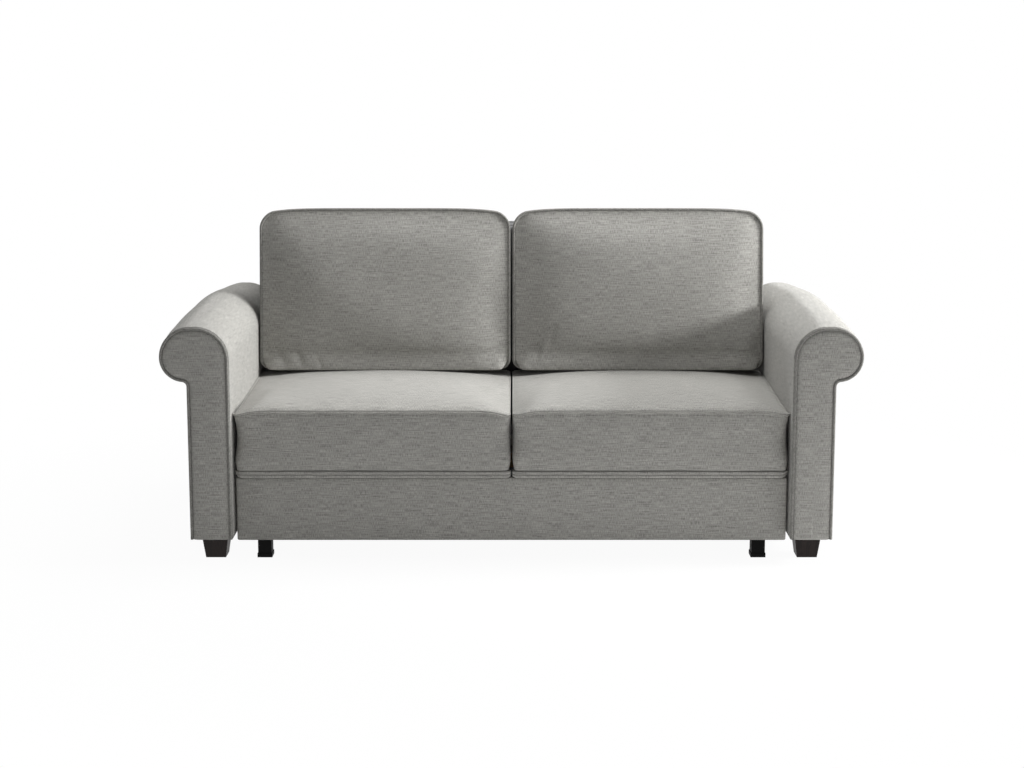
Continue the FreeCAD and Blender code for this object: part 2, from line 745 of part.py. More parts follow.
def bed_sections():
    head = Section("head", head_pivot, -1, size.head_frame_overhang, size.head_overhang)
    middle = Section("middle", seat_pivot, 1, size.middle_frame_overhang, size.bed_thickness)
    for section in (head, middle):
        section.frame()
        section.slats()
        section.mattress()
    head_plates = [head.plate("head_rear_plate", inner_plate, False),
                   head.plate("head_fold_plate", inner_plate, True)]
    head.stand(both_sides("head_hinge_plates", group("head_right_plates", head_plates)), "hinge_plates")
    middle_plates = [middle.plate("middle_front_plate", inner_plate, False),
                     middle.plate("middle_fold_plate", outer_plate, True, spacer=True)]
    middle.stand(both_sides("middle_hinge_plates", group("middle_right_plates", middle_plates)),
                 "hinge_plates")

    fold_y = -size.fold_length
    pin = hinge_pin("fold_pin", fold_y, as_size(0), inner_plate + size.pin_end_gap,
                    outer_plate + size.plate_thickness)
    head.stand(both_sides("head_fold_pins", pin), "fold_pins")
    leg_y = -(size.fold_length - size.leg_pivot_setback)
    leg_pin = rod("leg_pin", "x", size.pivot_pin_radius, (tube_inside - size.leg_pin_length, leg_y,
                                                          size.leg_pivot_rise), size.leg_pin_length)
    head.stand(both_sides("head_leg_pins", leg_pin), "leg_pins")


# Support leg: hangs upright from the head section in every position
def support_leg():
    along = size.fold_length - size.leg_pivot_setback
    rise = size.leg_pivot_rise
    y = place("leg_y", head_pivot - along * fold_cos + rise * fold_sin)
    top = place("leg_top", pivot_level + along * fold_sin + rise * fold_cos)
    floor = place("leg_floor", top - pivot_level - rise)
    radius = size.leg_tube_radius
    half = tube_inside - size.leg_axle_gap
    axle = rod("leg_axle_rod", "x", radius, (-half, y, top), 2 * half)
    bore_start = tube_inside - size.leg_pin_length - size.leg_axle_gap
    bore = rod("leg_axle_bore", "x", pin_hole, (bore_start, y, top), size.leg_pin_length + size.leg_axle_gap)
    node(cut("support_leg_axle", axle, both_sides("leg_axle_bores", bore)), "support_leg_axle")

    bottom = floor + size.leg_foot_height
    post = rod("leg_post", "z", radius, (leg_post_offset, y, bottom), top - bottom)
    saddle = rod("leg_post_saddle", "x", radius, (leg_post_offset - 2 * radius, y, top), 4 * radius)
    posts = both_sides("leg_post_pair", cut("leg_post_cut", post, saddle))
    node(posts, "support_leg_posts")
    level = floor + size.leg_crossbar_height
    bar = rod("leg_crossbar_rod", "x", radius, (-leg_post_offset, y, level), 2 * leg_post_offset)
    shape = rod("leg_crossbar_saddle", "z", radius, (leg_post_offset, y, bottom), top - bottom)
    node(cut("support_leg_crossbar", bar, both_sides("leg_crossbar_saddles", shape)), "support_leg_crossbar")
    foot = rod("leg_foot", "z", size.leg_foot_radius, (leg_post_offset, y, floor), size.leg_foot_height)
    node(both_sides("support_leg_feet", foot), "support_leg_feet")


# Seat section: rolls forward with its cushions, base panel and front legs
def seat_frame():
    up = (size.seat_frame_bottom, seat_frame_top)
    end = seat_tube_end
    front_run = (lip_back, lip_back + size.tube_size)
    rear_run = (seat_back - size.tube_size, seat_back)
    tubes = [tube("seat_front_tube", "x", front_run, up, (-end, end)),
             tube("seat_rear_tube", "x", rear_run, up, (-end, end))]
    node(group("seat_cross_tubes", tubes), "seat_cross_tubes")
    rail_x = (seat_rail_inside, seat_rail_inside + size.tube_size)
    rail = tube("seat_rail", "y", rail_x, up, (front_run[1], rear_run[0]))
    node(both_sides("seat_side_rails", rail), "seat_side_rails")

    count = int(size.seat_slat_count.value)
    pitch = 2 * (end - size.slat_width / 2) / (size.seat_slat_count - 1)
    slats = []
    for index in range(count):
        middle = pitch * (index - (count - 1) / 2)
        x = (middle - size.slat_width / 2, middle + size.slat_width / 2)
        slats.append(box(f"seat_slat_{index}", x, (lip_back, seat_back), (seat_frame_top, seat_slat_top)))
    node(group("seat_slats", slats), "seat_slats")


def hinge_arms():
    ear = size.ear_radius
    under = seat_slat_top - size.slat_thickness
    low = size.seat_frame_bottom
    reach = seat_back - size.hinge_arm_reach
    outline = [(seat_pivot + ear, pivot_level + ear), (seat_pivot - size.plate_length, pivot_level + ear),
               (seat_back + ear, under), (reach, under), (reach, low), (seat_back + 2 * ear, low),
               (seat_pivot - ear, pivot_level - 2 * ear), (seat_pivot + ear, pivot_level - ear)]
    plate = pad("hinge_arm_plate", "YZ_Plane", [outline], outer_plate,
                outer_plate + size.hinge_arm_thickness, [(seat_pivot, pivot_level, pin_hole)])
    block_x = (seat_rail_inside + size.tube_size, outer_plate)
    block = box("hinge_arm_block", block_x, (reach, reach + size.front_leg_size), (low, under))
    arm = fuse("right_hinge_arm", [plate, block])
    node(arm, "right_hinge_arm")
    node(mirrored("left_hinge_arm", arm), "left_hinge_arm")
    pin = hinge_pin("seat_pivot_pin", seat_pivot, pivot_level, inner_plate + size.pin_end_gap,
                    outer_plate + size.hinge_arm_thickness)
    node(both_sides("seat_pivot_pins", pin), "seat_pivot_pins")


def seat_front_pieces():
    half = base_half_width
    seam = size.base_seam_width / 2
    base_y = (front + size.base_front_inset, base_back)
    outline = [(-half, base_y[1]), (-half, base_y[0]), (-seam, base_y[0]),
               (-seam, base_y[0] + size.base_seam_depth), (seam, base_y[0] + size.base_seam_depth),
               (seam, base_y[0]), (half, base_y[0]), (half, base_y[1])]
    panel = pad("base_panel", "XY_Plane", [outline], size.base_bottom, size.base_top)
    node(panel, "base_panel")

    lip_front = front + size.lip_front_inset
    middle = (size.lip_bottom + size.lip_top) / 2
    ridge = (size.lip_top - size.lip_bottom) / 2
    ridge_in = lip_front + ridge * 0.4
    ridge_radius = ridge * 0.55
    outline = [(lip_back, size.lip_bottom), (lip_back, size.lip_top),
               (ridge_in, size.lip_top, ridge_radius, 1), (ridge_in, middle, ridge_radius, 1),
               (ridge_in, size.lip_bottom)]
    lip = pad("right_seat_lip", "YZ_Plane", [outline], size.seat_centre_gap, seat_half_width)
    node(lip, "right_seat_lip")
    node(mirrored("left_seat_lip", lip), "left_seat_lip")


def seat_legs():
    half = size.front_leg_size / 2
    x = (front_leg_offset - half, front_leg_offset + half)
    y = (base_back, base_back + size.front_leg_size)
    leg = box("right_front_leg", x, y, (size.front_cap_height, size.seat_frame_bottom))
    node(leg, "right_front_leg")
    node(mirrored("left_front_leg", leg), "left_front_leg")
    extra = (size.front_cap_size - size.front_leg_size) / 2
    cap = box("front_leg_cap", (x[0] - extra, x[1] + extra), (y[0] - extra, y[1] + extra),
              (0, size.front_cap_height))
    node(both_sides("front_leg_caps", cap), "front_leg_caps")

    middle = front_leg_offset
    leg_half = size.rear_leg_size / 2
    axle_y = seat_back - leg_half
    post = box("rear_leg_post", (middle - leg_half, middle + leg_half),
               (seat_back - size.rear_leg_size, seat_back), (size.fork_top, size.seat_frame_bottom))
    inner = size.roller_width / 2 + size.roller_side_gap
    outer = inner + size.fork_thickness
    plate_up = (size.fork_top - size.fork_thickness, size.fork_top)
    plate = box("fork_plate", (middle - outer, middle + outer),
                (seat_back - size.rear_leg_size, seat_back), plate_up)
    ear = size.fork_ear_radius
    cheek = [(axle_y - ear, size.roller_radius - ear), (axle_y + ear, size.roller_radius - ear),
             (seat_back, size.fork_top - size.fork_thickness),
             (seat_back - size.rear_leg_size, size.fork_top - size.fork_thickness)]
    hole = [(axle_y, size.roller_radius, size.roller_axle_radius + size.running_clearance)]
    cheeks = [pad(f"fork_cheek_{index}", "YZ_Plane", [cheek], x_low, x_low + size.fork_thickness, hole)
              for index, x_low in enumerate((middle - outer, middle + inner))]
    fork = fuse("right_roller_fork", [post, plate] + cheeks)
    node(fork, "right_roller_fork")
    node(mirrored("left_roller_fork", fork), "left_roller_fork")
    axle = rod("roller_axle", "x", size.roller_axle_radius, (middle - outer, axle_y, size.roller_radius),
               2 * outer)
    node(both_sides("roller_axles", axle), "roller_axles")
    wheel = pad("right_roller", "YZ_Plane", [], middle - size.roller_width / 2,
                middle + size.roller_width / 2,
                [(axle_y, size.roller_radius, size.roller_radius),
                 (axle_y, size.roller_radius, size.roller_axle_radius + size.running_clearance)])
    node(wheel, "right_roller")
    node(mirrored("left_roller", wheel), "left_roller")


# Soft forms: lofts through rounded outlines, so that they are crowned and their sides draw in
def soft_outline(x, y, radii, pulls, spot):
    """A rounded rectangle whose sides bow inwards, set in space by the placement spot.

    radii are those of the two corners at the low y and of the two at the high y.
    pulls say how far the low y side, the two x sides and the high y side bow in.
    """
    low, high = radii
    corners = [(x[0], y[0], low, 1, 1), (x[1], y[0], low, -1, 1), (x[1], y[1], high, -1, -1),
               (x[0], y[1], high, 1, -1)]
    arcs = []
    for number, (px, py, radius, inward_x, inward_y) in enumerate(corners):
        along_x = FreeCAD.Vector(px + inward_x * radius, py, 0)
        along_y = FreeCAD.Vector(px, py + inward_y * radius, 0)
        near = radius * (1 - math.sqrt(0.5))
        middle = FreeCAD.Vector(px + inward_x * near, py + inward_y * near, 0)
        ends = (along_y, middle, along_x) if number % 2 == 0 else (along_x, middle, along_y)
        arcs.append(ends)
    inward = [(0, pulls[0]), (-pulls[1], 0), (0, -pulls[2]), (pulls[1], 0)]
    edges = []
    for number, ends in enumerate(arcs):
        following = arcs[(number + 1) % 4][0]
        bow = FreeCAD.Vector(*inward[number], 0)
        edges.append(Part.Arc(*ends).toShape())
        if bow.Length > 0:
            edges.append(Part.Arc(ends[2], (ends[2] + following) * 0.5 + bow, following).toShape())
        else:
            edges.append(Part.LineSegment(ends[2], following).toShape())
    wire = Part.Wire(edges)
    wire.Placement = spot
    return wire


def seat_cushions():
    x = (size.seat_centre_gap.value, seat_half_width.value)
    y = (seat_front.value, seat_back.value)
    bottom = (seat_slat_top + size.cushion_rest_gap).value
    welt, crown = size.seat_welt_level.value, size.seat_crown_level.value
    height, rise = welt - bottom, crown - welt
    # level, inset of front and sides, inset of the rear, corner radius, how far the sides draw in
    levels = [(bottom, 8, 6, 14, 2), (bottom + height * 0.08, 2, 2, 20, 3),
              (bottom + height * 0.5, 3, 0, 22, 4), (bottom + height * 0.93, 1, 0, 22, 3),
              (welt, 0, 0, 20, 2), (welt + rise * 0.3, 14, 2, 26, 1),
              (welt + rise * 0.7, 60, 6, 50, 1), (crown, 170, 12, 80, 1)]
    wires = []
    for level, inset, rear, radius, pull in levels:
        spot = FreeCAD.Placement(FreeCAD.Vector(0, 0, level), FreeCAD.Rotation())
        wires.append(soft_outline((x[0] + inset, x[1] - inset), (y[0] + inset, y[1] - rear),
                                  (radius, min(radius, 30)), (pull, pull, 0), spot))
    soft_piece("seat_cushion", wires)


def back_cushions():
    piping = 2 * size.cushion_piping_radius.value + size.piping_clearance.value
    x = (size.back_cushion_gap.value + piping, back_cushion_outer.value - piping)
    length = size.back_cushion_length.value - piping
    lean = size.back_cushion_lean.value
    seam_y = back_cushion_front.value
    base = back_cushion_base.value
    tilt = 90 - size.fold_angle.value
    rise = base - pivot_level.value
    rear_y = back_cushion_rear.value + rise * math.tan(math.radians(tilt))
    thickness = rear_y - seam_y
    # depth from the seam, lean, inset, corner radius, how far the sides draw in
    layers = [(thickness, tilt, 16, 34, 2), (thickness - 9, tilt, 5, 42, 3),
              (thickness * 0.5, (lean + tilt) / 2, 0, 42, 5), (4, lean, 0, 41, 0), (0, lean, 0, 41, 0),
              (-5, lean, 10, 41, 1), (-12, lean, 36, 50, 1), (-18, lean, 84, 60, 1),
              (-22, lean, 150, 70, 1)]
    wires = []
    for depth, angle, inset, radius, pull in layers:
        upright = FreeCAD.Rotation(FreeCAD.Vector(1, 0, 0), 90 - angle)
        spot = FreeCAD.Placement(FreeCAD.Vector(0, seam_y + depth, base), upright)
        high = length * math.cos(math.radians(lean)) / math.cos(math.radians(angle)) - max(depth, 0) * 0.12
        low = piping + inset * 0.3 if depth < 5 else inset * 0.4
        wires.append(soft_outline((x[0] + inset, x[1] - inset), (low, high - inset),
                                  (min(radius, 26), radius), (0, pull, pull), spot))
    soft_piece("back_cushion", wires)

    path = doc.addObject("Sketcher::SketchObject", "cushion_piping_path")
    path.Placement.Rotation = FreeCAD.Rotation(FreeCAD.Vector(1, 0, 0), 90 - lean)
    bind(path, "Placement.Base.y", back_cushion_front)
    bind(path, "Placement.Base.z", back_cushion_base)
    path.setExpression("Placement.Rotation.Angle", (90 - size.back_cushion_lean).text + " * 1 deg")
    cord = size.cushion_piping_radius
    left, right = size.back_cushion_gap + cord, back_cushion_outer - cord
    low, high = cord, size.back_cushion_length - cord
    bottom, top = size.cushion_bottom_radius, size.cushion_top_radius
    draw(path, [(left + bottom, low), (right - bottom, low, bottom, 1), (right, low + bottom),
                (right, high - top, top, 1), (right - top, high), (left + top, high, top, 1),
                (left, high - top), (left, low + bottom, bottom, 1)])
    sine_lean, cosine_lean = sine(size.back_cushion_lean), cosine(size.back_cushion_lean)
    start = (left + bottom, back_cushion_front + low * sine_lean,
             back_cushion_base + low * cosine_lean)
    across = FreeCAD.Rotation(FreeCAD.Vector(0, 1, 0), 90)
    piping = sweep("right_back_cushion_piping", path, cord, start, across)
    node(piping, "right_back_cushion_piping")
    node(mirrored("left_back_cushion_piping", piping), "left_back_cushion_piping")


def soft_piece(name, wires):
    """A soft solid on the right and its mirror image on the left."""
    piece = doc.addObject("Part::Feature", "right_" + name)
    piece.Shape = Part.makeLoft(wires, True, True)
    node(piece, "right_" + name)
    node(mirrored("left_" + name, piece), "left_" + name)


arm_pieces()
feet()
back_pieces()
hinge_brackets()
bed_sections()
support_leg()
seat_frame()
hinge_arms()
seat_front_pieces()
seat_legs()
seat_cushions()
back_cushions()
doc.recompute()

for item in doc.Objects:
    if "Invalid" in item.State or "Error" in item.State:
        raise RuntimeError(f"{item.Label} failed: {item.State}")
for piece in nodes:
    if piece.Shape.isNull() or not piece.Shape.isValid():
        raise RuntimeError(f"{piece.Label} has no valid shape")

os.makedirs("parts", exist_ok=True)
for piece in nodes:
    piece.Shape.exportStep(f"parts/{piece.Label}.step")
print(len(nodes), "sub-parts written")
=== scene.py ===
import json
import math

import bmesh
import bpy
import numpy as np
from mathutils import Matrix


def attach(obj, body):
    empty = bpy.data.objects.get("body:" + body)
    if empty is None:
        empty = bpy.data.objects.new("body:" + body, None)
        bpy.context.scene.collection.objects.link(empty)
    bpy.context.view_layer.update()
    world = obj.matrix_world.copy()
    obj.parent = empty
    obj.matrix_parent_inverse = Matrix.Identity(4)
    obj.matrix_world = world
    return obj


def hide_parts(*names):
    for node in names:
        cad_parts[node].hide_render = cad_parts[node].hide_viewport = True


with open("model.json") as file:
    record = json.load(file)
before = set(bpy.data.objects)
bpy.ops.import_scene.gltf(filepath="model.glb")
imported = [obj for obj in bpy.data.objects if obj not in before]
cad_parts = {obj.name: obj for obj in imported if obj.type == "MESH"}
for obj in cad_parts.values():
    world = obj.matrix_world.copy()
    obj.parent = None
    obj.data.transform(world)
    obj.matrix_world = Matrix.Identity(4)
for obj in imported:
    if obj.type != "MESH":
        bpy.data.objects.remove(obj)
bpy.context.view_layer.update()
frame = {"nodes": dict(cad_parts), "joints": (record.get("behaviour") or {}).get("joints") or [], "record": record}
scene = bpy.context.scene
cadNodes = frame["nodes"]
sides = (("left", -1), ("right", 1))
pivots = {joint["name"]: joint.get("pos_m") for joint in frame["joints"]}
print("frame loaded with", len(cadNodes), "nodes")

# Shader maths


# a socket that adds a Math node for each operator used on it
class Wire:
    def __init__(self, graph, socket):
        self.graph = graph
        self.socket = socket

    def math(self, operation, *values, clamp=False):
        settings = {"operation": operation, "use_clamp": clamp}
        return self.graph.node("ShaderNodeMath", settings, dict(enumerate(values)))

    def __add__(self, other):
        return self.math("ADD", self, other)

    def __sub__(self, other):
        return self.math("SUBTRACT", self, other)

    def __rsub__(self, other):
        return self.math("SUBTRACT", other, self)

    def __mul__(self, other):
        return self.math("MULTIPLY", self, other)

    def __truediv__(self, other):
        return self.math("DIVIDE", self, other)

    def __pow__(self, other):
        return self.math("POWER", self, other)

    __radd__ = __add__
    __rmul__ = __mul__

    def sine(self):
        return self.math("SINE", self)

    def clamped(self):
        return self.math("ADD", self, 0.0, clamp=True)


# a node tree, and the nodes that are made in it
class Graph:
    def __init__(self, tree):
        self.tree = tree

    def feed(self, socket, value):
        if isinstance(value, Wire):
            self.tree.links.new(value.socket, socket)
        else:
            socket.default_value = value

    def node(self, kind, settings, inputs, output=0):
        made = self.tree.nodes.new(kind)
        for name, value in settings.items():
            setattr(made, name, value)
        for name, value in inputs.items():
            self.feed(made.inputs[name], value)
        return Wire(self, made.outputs[output])

    def split(self, vector):
        made = self.tree.nodes.new("ShaderNodeSeparateXYZ")
        self.feed(made.inputs[0], vector)
        return [Wire(self, socket) for socket in made.outputs]

    def join(self, x, y, z=0.0):
        return self.node("ShaderNodeCombineXYZ", {}, {0: x, 1: y, 2: z})

    def noise(self, vector, scale=1.0, detail=2.0, roughness=0.5):
        inputs = {"Vector": vector, "Scale": scale, "Detail": detail, "Roughness": roughness}
        return self.node("ShaderNodeTexNoise", {}, inputs)

    def blend(self, share, first, second):
        inputs = {0: share, 6: (*first, 1), 7: (*second, 1)}
        return self.node("ShaderNodeMix", {"data_type": "RGBA"}, inputs, 2)


# one material and its Principled shader
class Finish(Graph):
    def __init__(self, name, **fixed):
        self.material = bpy.data.materials.new(name)
        self.material.use_nodes = True
        super().__init__(self.material.node_tree)
        self.shader = self.tree.nodes["Principled BSDF"]
        for socket, value in fixed.items():
            self.shader.inputs[socket.replace("_", " ")].default_value = value

    def objectPlace(self):
        return self.node("ShaderNodeTexCoord", {}, {}, "Object")

    def clothPlace(self):
        return self.node("ShaderNodeUVMap", {"uv_map": "cloth"}, {})

    def colour(self, value):
        self.feed(self.shader.inputs["Base Color"], value)

    def roughness(self, value):
        self.feed(self.shader.inputs["Roughness"], value)

    def relief(self, height, distance, strength=1.0):
        inputs = {"Height": height, "Distance": distance, "Strength": strength}
        self.feed(self.shader.inputs["Normal"], self.node("ShaderNodeBump", {}, inputs))


weave = {
    "dark": (0.206, 0.202, 0.189),
    "light": (0.525, 0.515, 0.483),
    "weftLength": 0.052,
    "weftWidth": 0.0016,
    "weftContrast": 2.0,
    "warpLength": 0.013,
    "warpWidth": 0.0015,
    "warpContrast": 1.9,
    "threadPitch": 0.0026,
    "threadContrast": 0.20,
    "cloudScale": 7.0,
    "cloudContrast": 0.06,
    "wobble": 3.0,
    "relief": 0.0009,
    "reliefStrength": 0.75,
}


# slub weave: long thin noise along the weft and along the warp, over a fine thread grid
# paintedShade darkens both tones of a copy of the weave: painted shade for cloth that lies in shadow
def wovenFinish(name, values, turn=0.0, paintedShade=1.0):
    finish = Finish(name, Roughness=0.92, Specular_IOR_Level=0.2, Sheen_Weight=0.18, Sheen_Roughness=0.45)
    place = finish.clothPlace()
    if turn:
        place = finish.node("ShaderNodeMapping", {}, {"Vector": place, "Rotation": (0, 0, turn)})
    u, v, _ = finish.split(place)
    weftPlace = finish.join(u * (1 / values["weftLength"]), v * (1 / values["weftWidth"]))
    warpPlace = finish.join(u * (1 / values["warpWidth"]), v * (1 / values["warpLength"]), 5.0)
    weft = finish.noise(weftPlace, detail=3.0, roughness=0.6)
    warp = finish.noise(warpPlace, detail=2.0, roughness=0.6)
    cloud = finish.noise(finish.join(u, v, 2.0), scale=values["cloudScale"], detail=2.0)
    pitch = 2 * math.pi / values["threadPitch"]
    wobble = (cloud - 0.5) * values["wobble"]
    threads = (u * pitch + wobble).sine() * (v * pitch + wobble).sine()
    slub = (weft - 0.5) * values["weftContrast"] + (warp - 0.5) * values["warpContrast"]
    tone = 0.5 + slub + (cloud - 0.5) * values["cloudContrast"] + threads * values["threadContrast"]
    tone = tone.clamped()
    tones = [tuple(part * paintedShade for part in values[end]) for end in ("dark", "light")]
    finish.colour(finish.blend(tone, *tones))
    finish.roughness(0.97 - tone * 0.12)
    height = weft * 0.6 + warp * 0.6 + threads * 0.25
    finish.relief(height, values["relief"], values["reliefStrength"])
    return finish.material


# stained wood: rings stretched along the grain, with fine pores
def grainFinish(name, dark, light, along, ring=70.0, rough=0.45, coat=0.0):
    finish = Finish(name, Roughness=rough, Specular_IOR_Level=0.22)
    x, y, z = finish.split(finish.objectPlace())
    stretched = finish.join(x, y * 0.08, z) if along == "y" else finish.join(x, y, z * 0.08)
    grain = finish.noise(stretched, scale=ring, detail=5.0, roughness=0.6)
    pores = finish.noise(stretched, scale=ring * 9, detail=2.0)
    lines = ((grain * 26.0).sine() * 0.5 + 0.5) * 0.6 + pores * 0.4
    finish.colour(finish.blend(lines.clamped(), dark, light))
    finish.roughness(rough + (pores - 0.5) * 0.25)
    finish.relief(lines, 0.0003, 0.5)
    finish.shader.inputs["Coat Weight"].default_value = coat
    finish.shader.inputs["Coat Roughness"].default_value = 0.35
    return finish.material


# powder coat: orange-peel bump and a slightly worn tone
def coatedFinish(name, colour, worn, rough=0.42, gloss=0.5):
    finish = Finish(name, Specular_IOR_Level=gloss)
    place = finish.objectPlace()
    peel = finish.noise(place, scale=900.0, detail=2.0)
    cloud = finish.noise(place, scale=9.0, detail=4.0)
    finish.colour(finish.blend(((cloud - 0.35) * 1.6).clamped(), colour, worn))
    finish.roughness(rough + (cloud - 0.5) * 0.3)
    finish.relief(peel, 0.00012, 0.5)
    return finish.material


# zinc plate: small crystals that differ in tone and gloss
def platedFinish(name):
    finish = Finish(name, Metallic=1.0)
    place = finish.objectPlace()
    cells = finish.node("ShaderNodeTexVoronoi", {}, {"Vector": place, "Scale": 260.0}, "Distance")
    cloud = finish.noise(place, scale=40.0, detail=3.0)
    share = (cells * 0.8 + cloud * 0.3).clamped()
    finish.colour(finish.blend(share, (0.50, 0.51, 0.52), (0.74, 0.74, 0.73)))
    finish.roughness(0.28 + cloud * 0.25)
    finish.relief(cells, 0.0001, 0.3)
    return finish.material


# moulded plastic: fine spark-eroded grain
def mouldedFinish(name, dark, light, rough=0.55, gloss=0.4):
    finish = Finish(name, Specular_IOR_Level=gloss)
    place = finish.objectPlace()
    grain = finish.noise(place, scale=1400.0, detail=2.0)
    cloud = finish.noise(place, scale=25.0, detail=3.0)
    finish.colour(finish.blend(cloud, dark, light))
    finish.roughness(rough + (cloud - 0.5) * 0.2)
    finish.relief(grain, 0.00008, 0.6)
    return finish.material


# mattress cover: a soft woven stripe and a fine twill, in a charcoal tone that is painted shade, so the gap
# between the back cushions shows dark
def tickingFinish(name):
    finish = Finish(name, Roughness=0.85, Specular_IOR_Level=0.25, Sheen_Weight=0.1)
    u, v, _ = finish.split(finish.clothPlace())
    twill = ((u + v) * 2600.0).sine()
    stripe = ((u * 140.0).sine() * 0.5 + 0.5) ** 3.0
    slub = finish.noise(finish.join(u * 300.0, v * 40.0), detail=2.0)
    tone = (0.35 + stripe * 0.35 + (slub - 0.5) * 0.9 + twill * 0.06).clamped()
    # charcoal tones: painted shade for the dark gap between the back cushions
    finish.colour(finish.blend(tone, (0.055, 0.055, 0.057), (0.11, 0.11, 0.113)))
    finish.roughness(0.9 - stripe * 0.2)
    finish.relief(twill * 0.3 + slub + stripe * 0.4, 0.0004, 0.6)
    return finish.material


birch = ((0.50, 0.35, 0.20), (0.66, 0.50, 0.32))
finishes = {
    "grey_weave": wovenFinish("greyWeave", weave),
    # the piping and the lip stitches use the same weave darkened to 0.7: painted shade for the shadow along the
    # seams
    "grey_piping": wovenFinish("greyPiping", weave, turn=math.radians(45), paintedShade=0.7),
    "dark_wood": grainFinish("darkWood", (0.006, 0.0038, 0.0034), (0.020, 0.0125, 0.0105), "z",
                             rough=0.5, coat=0.05),
    "black_steel": coatedFinish("blackSteel", (0.002,) * 3, (0.004,) * 3, rough=0.6, gloss=0.1),
    "grey_steel": coatedFinish("greySteel", (0.05, 0.05, 0.052), (0.085, 0.085, 0.088)),
    "black_plastic": mouldedFinish("blackPlastic", (0.002,) * 3, (0.005,) * 3, rough=0.65, gloss=0.1),
    "grey_plastic": mouldedFinish("greyPlastic", (0.11, 0.11, 0.115), (0.15, 0.15, 0.155)),
    "roller_nylon": mouldedFinish("rollerNylon", (0.045,) * 3, (0.07,) * 3, rough=0.4),
    "birch_slat": grainFinish("birchSlat", *birch, "y", ring=30.0),
    "birch_upright": grainFinish("birchUpright", *birch, "z", ring=30.0),
    "plywood": grainFinish("plywood", (0.42, 0.28, 0.16), (0.60, 0.44, 0.27), "z", ring=22.0, rough=0.7),
    "zinc_steel": platedFinish("zincSteel"),
    "mattress_ticking": tickingFinish("mattressTicking"),
}
print("materials made")

slotOf = {part["node"]: part["material_slot"] for part in frame["record"]["subparts"]}
for nodeName, cadObject in cadNodes.items():
    slotName = slotOf[nodeName]
    upright = slotName == "birch_slat" and not nodeName.startswith("seat")
    material = finishes["birch_upright" if upright else slotName]
    for materialSlot in cadObject.material_slots:
        materialSlot.material = material
print("CAD nodes dressed")

# Mesh helpers


def placed(name, data):
    made = bpy.data.objects.new(name, data)
    scene.collection.objects.link(made)
    return made


def smoothFaces(mesh):
    mesh.polygons.foreach_set("use_smooth", np.ones(len(mesh.polygons), bool))


# arrays spread over one another and joined along a new last axis
def joined(*parts):
    return np.stack(np.broadcast_arrays(*parts), -1)


# a mesh from whole arrays; faces is an array of quads, caps are lists of rims
def meshObject(name, points, faces, caps=()):
    mesh = bpy.data.meshes.new(name)
    mesh.from_pydata(points.reshape(-1, 3).tolist(), [], faces.tolist() + [list(cap) for cap in caps])
    mesh.validate()
    smoothFaces(mesh)
    return placed(name, mesh)


# quads between neighbouring rows and columns; closed joins the last row to the first
def gridFaces(rows, columns, closed, flip=False):
    last = rows if closed else rows - 1
    row = np.arange(last)[:, None]
    column = np.arange(columns - 1)[None, :]
    here = row * columns + column
    across = ((row + 1) % rows) * columns + column
    quads = joined(here, across, across + 1, here + 1).reshape(-1, 4)
    return quads[:, ::-1] if flip else quads


# the same, with its columns closed to a ring
def ringFaces(rows, around, closed, flip=False):
    faces = gridFaces(rows, around + 1, closed, flip)
    return faces // (around + 1) * around + faces % (around + 1) % around


# a grid of points as a tube: closed round its rows, with a cap on its first and last column
def tubeObject(name, points, flip):
    rows, columns = points.shape[:2]
    first = (np.arange(rows) * columns).tolist()
    last = [corner + columns - 1 for corner in first]
    caps = [first, last[::-1]] if flip else [first[::-1], last]
    return meshObject(name, points, gridFaces(rows, columns, True, flip), caps)


# what each item of a mesh says in one field, as an array
def readField(items, field, width=1, kind=float):
    values = np.empty(len(items) * width, kind)
    items.foreach_get(field, values)
    return values.reshape(-1, width) if width > 1 else values


def coordinates(mesh):
    return readField(mesh.vertices, "co", 3)


def vertexNormals(mesh):
    return readField(mesh.vertex_normals, "vector", 3)


def movePoints(mesh, points):
    mesh.vertices.foreach_set("co", points.ravel())
    mesh.update()


def setCloth(mesh, uv):
    layer = mesh.uv_layers.get("cloth") or mesh.uv_layers.new(name="cloth")
    layer.data.foreach_set("uv", uv.astype(np.float32).ravel())


# UV from one pair of values per vertex
def setClothByVertex(made, pairs):
    loops = readField(made.data.loops, "vertex_index", kind=np.int32)
    setCloth(made.data, pairs.reshape(-1, 2)[loops])


# each face of the mesh is laid flat along the way it faces most, in metres, after a turn about X
def layCloth(made, turn=0.0):
    mesh = made.data
    loops = readField(mesh.loops, "vertex_index", kind=np.int32)
    counts = readField(mesh.polygons, "loop_total", kind=np.int32)
    cosine, sine = math.cos(turn), math.sin(turn)
    matrix = np.array([[1, 0, 0], [0, cosine, -sine], [0, sine, cosine]])
    points = coordinates(mesh) @ matrix.T
    normals = readField(mesh.polygons, "normal", 3) @ matrix.T
    way = np.repeat(np.argmax(np.abs(normals), 1), counts)
    place = points[loops]
    along = np.where(way == 0, place[:, 1], place[:, 0])
    up = np.where(way == 2, place[:, 1], place[:, 2])
    setCloth(mesh, joined(along, up))


# a finished piece: its cloth UV, material, body and slot, and the nodes it stands for; its filling argument is not
# used
def finishPiece(made, body, *replaced, slotName="grey_weave", fill=None, turn=0.0):
    if "cloth" not in made.data.uv_layers:
        layCloth(made, turn)
    made.data.materials.clear()
    made.data.materials.append(finishes[slotName])
    if replaced:
        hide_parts(*replaced)
    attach(made, body)
    return made


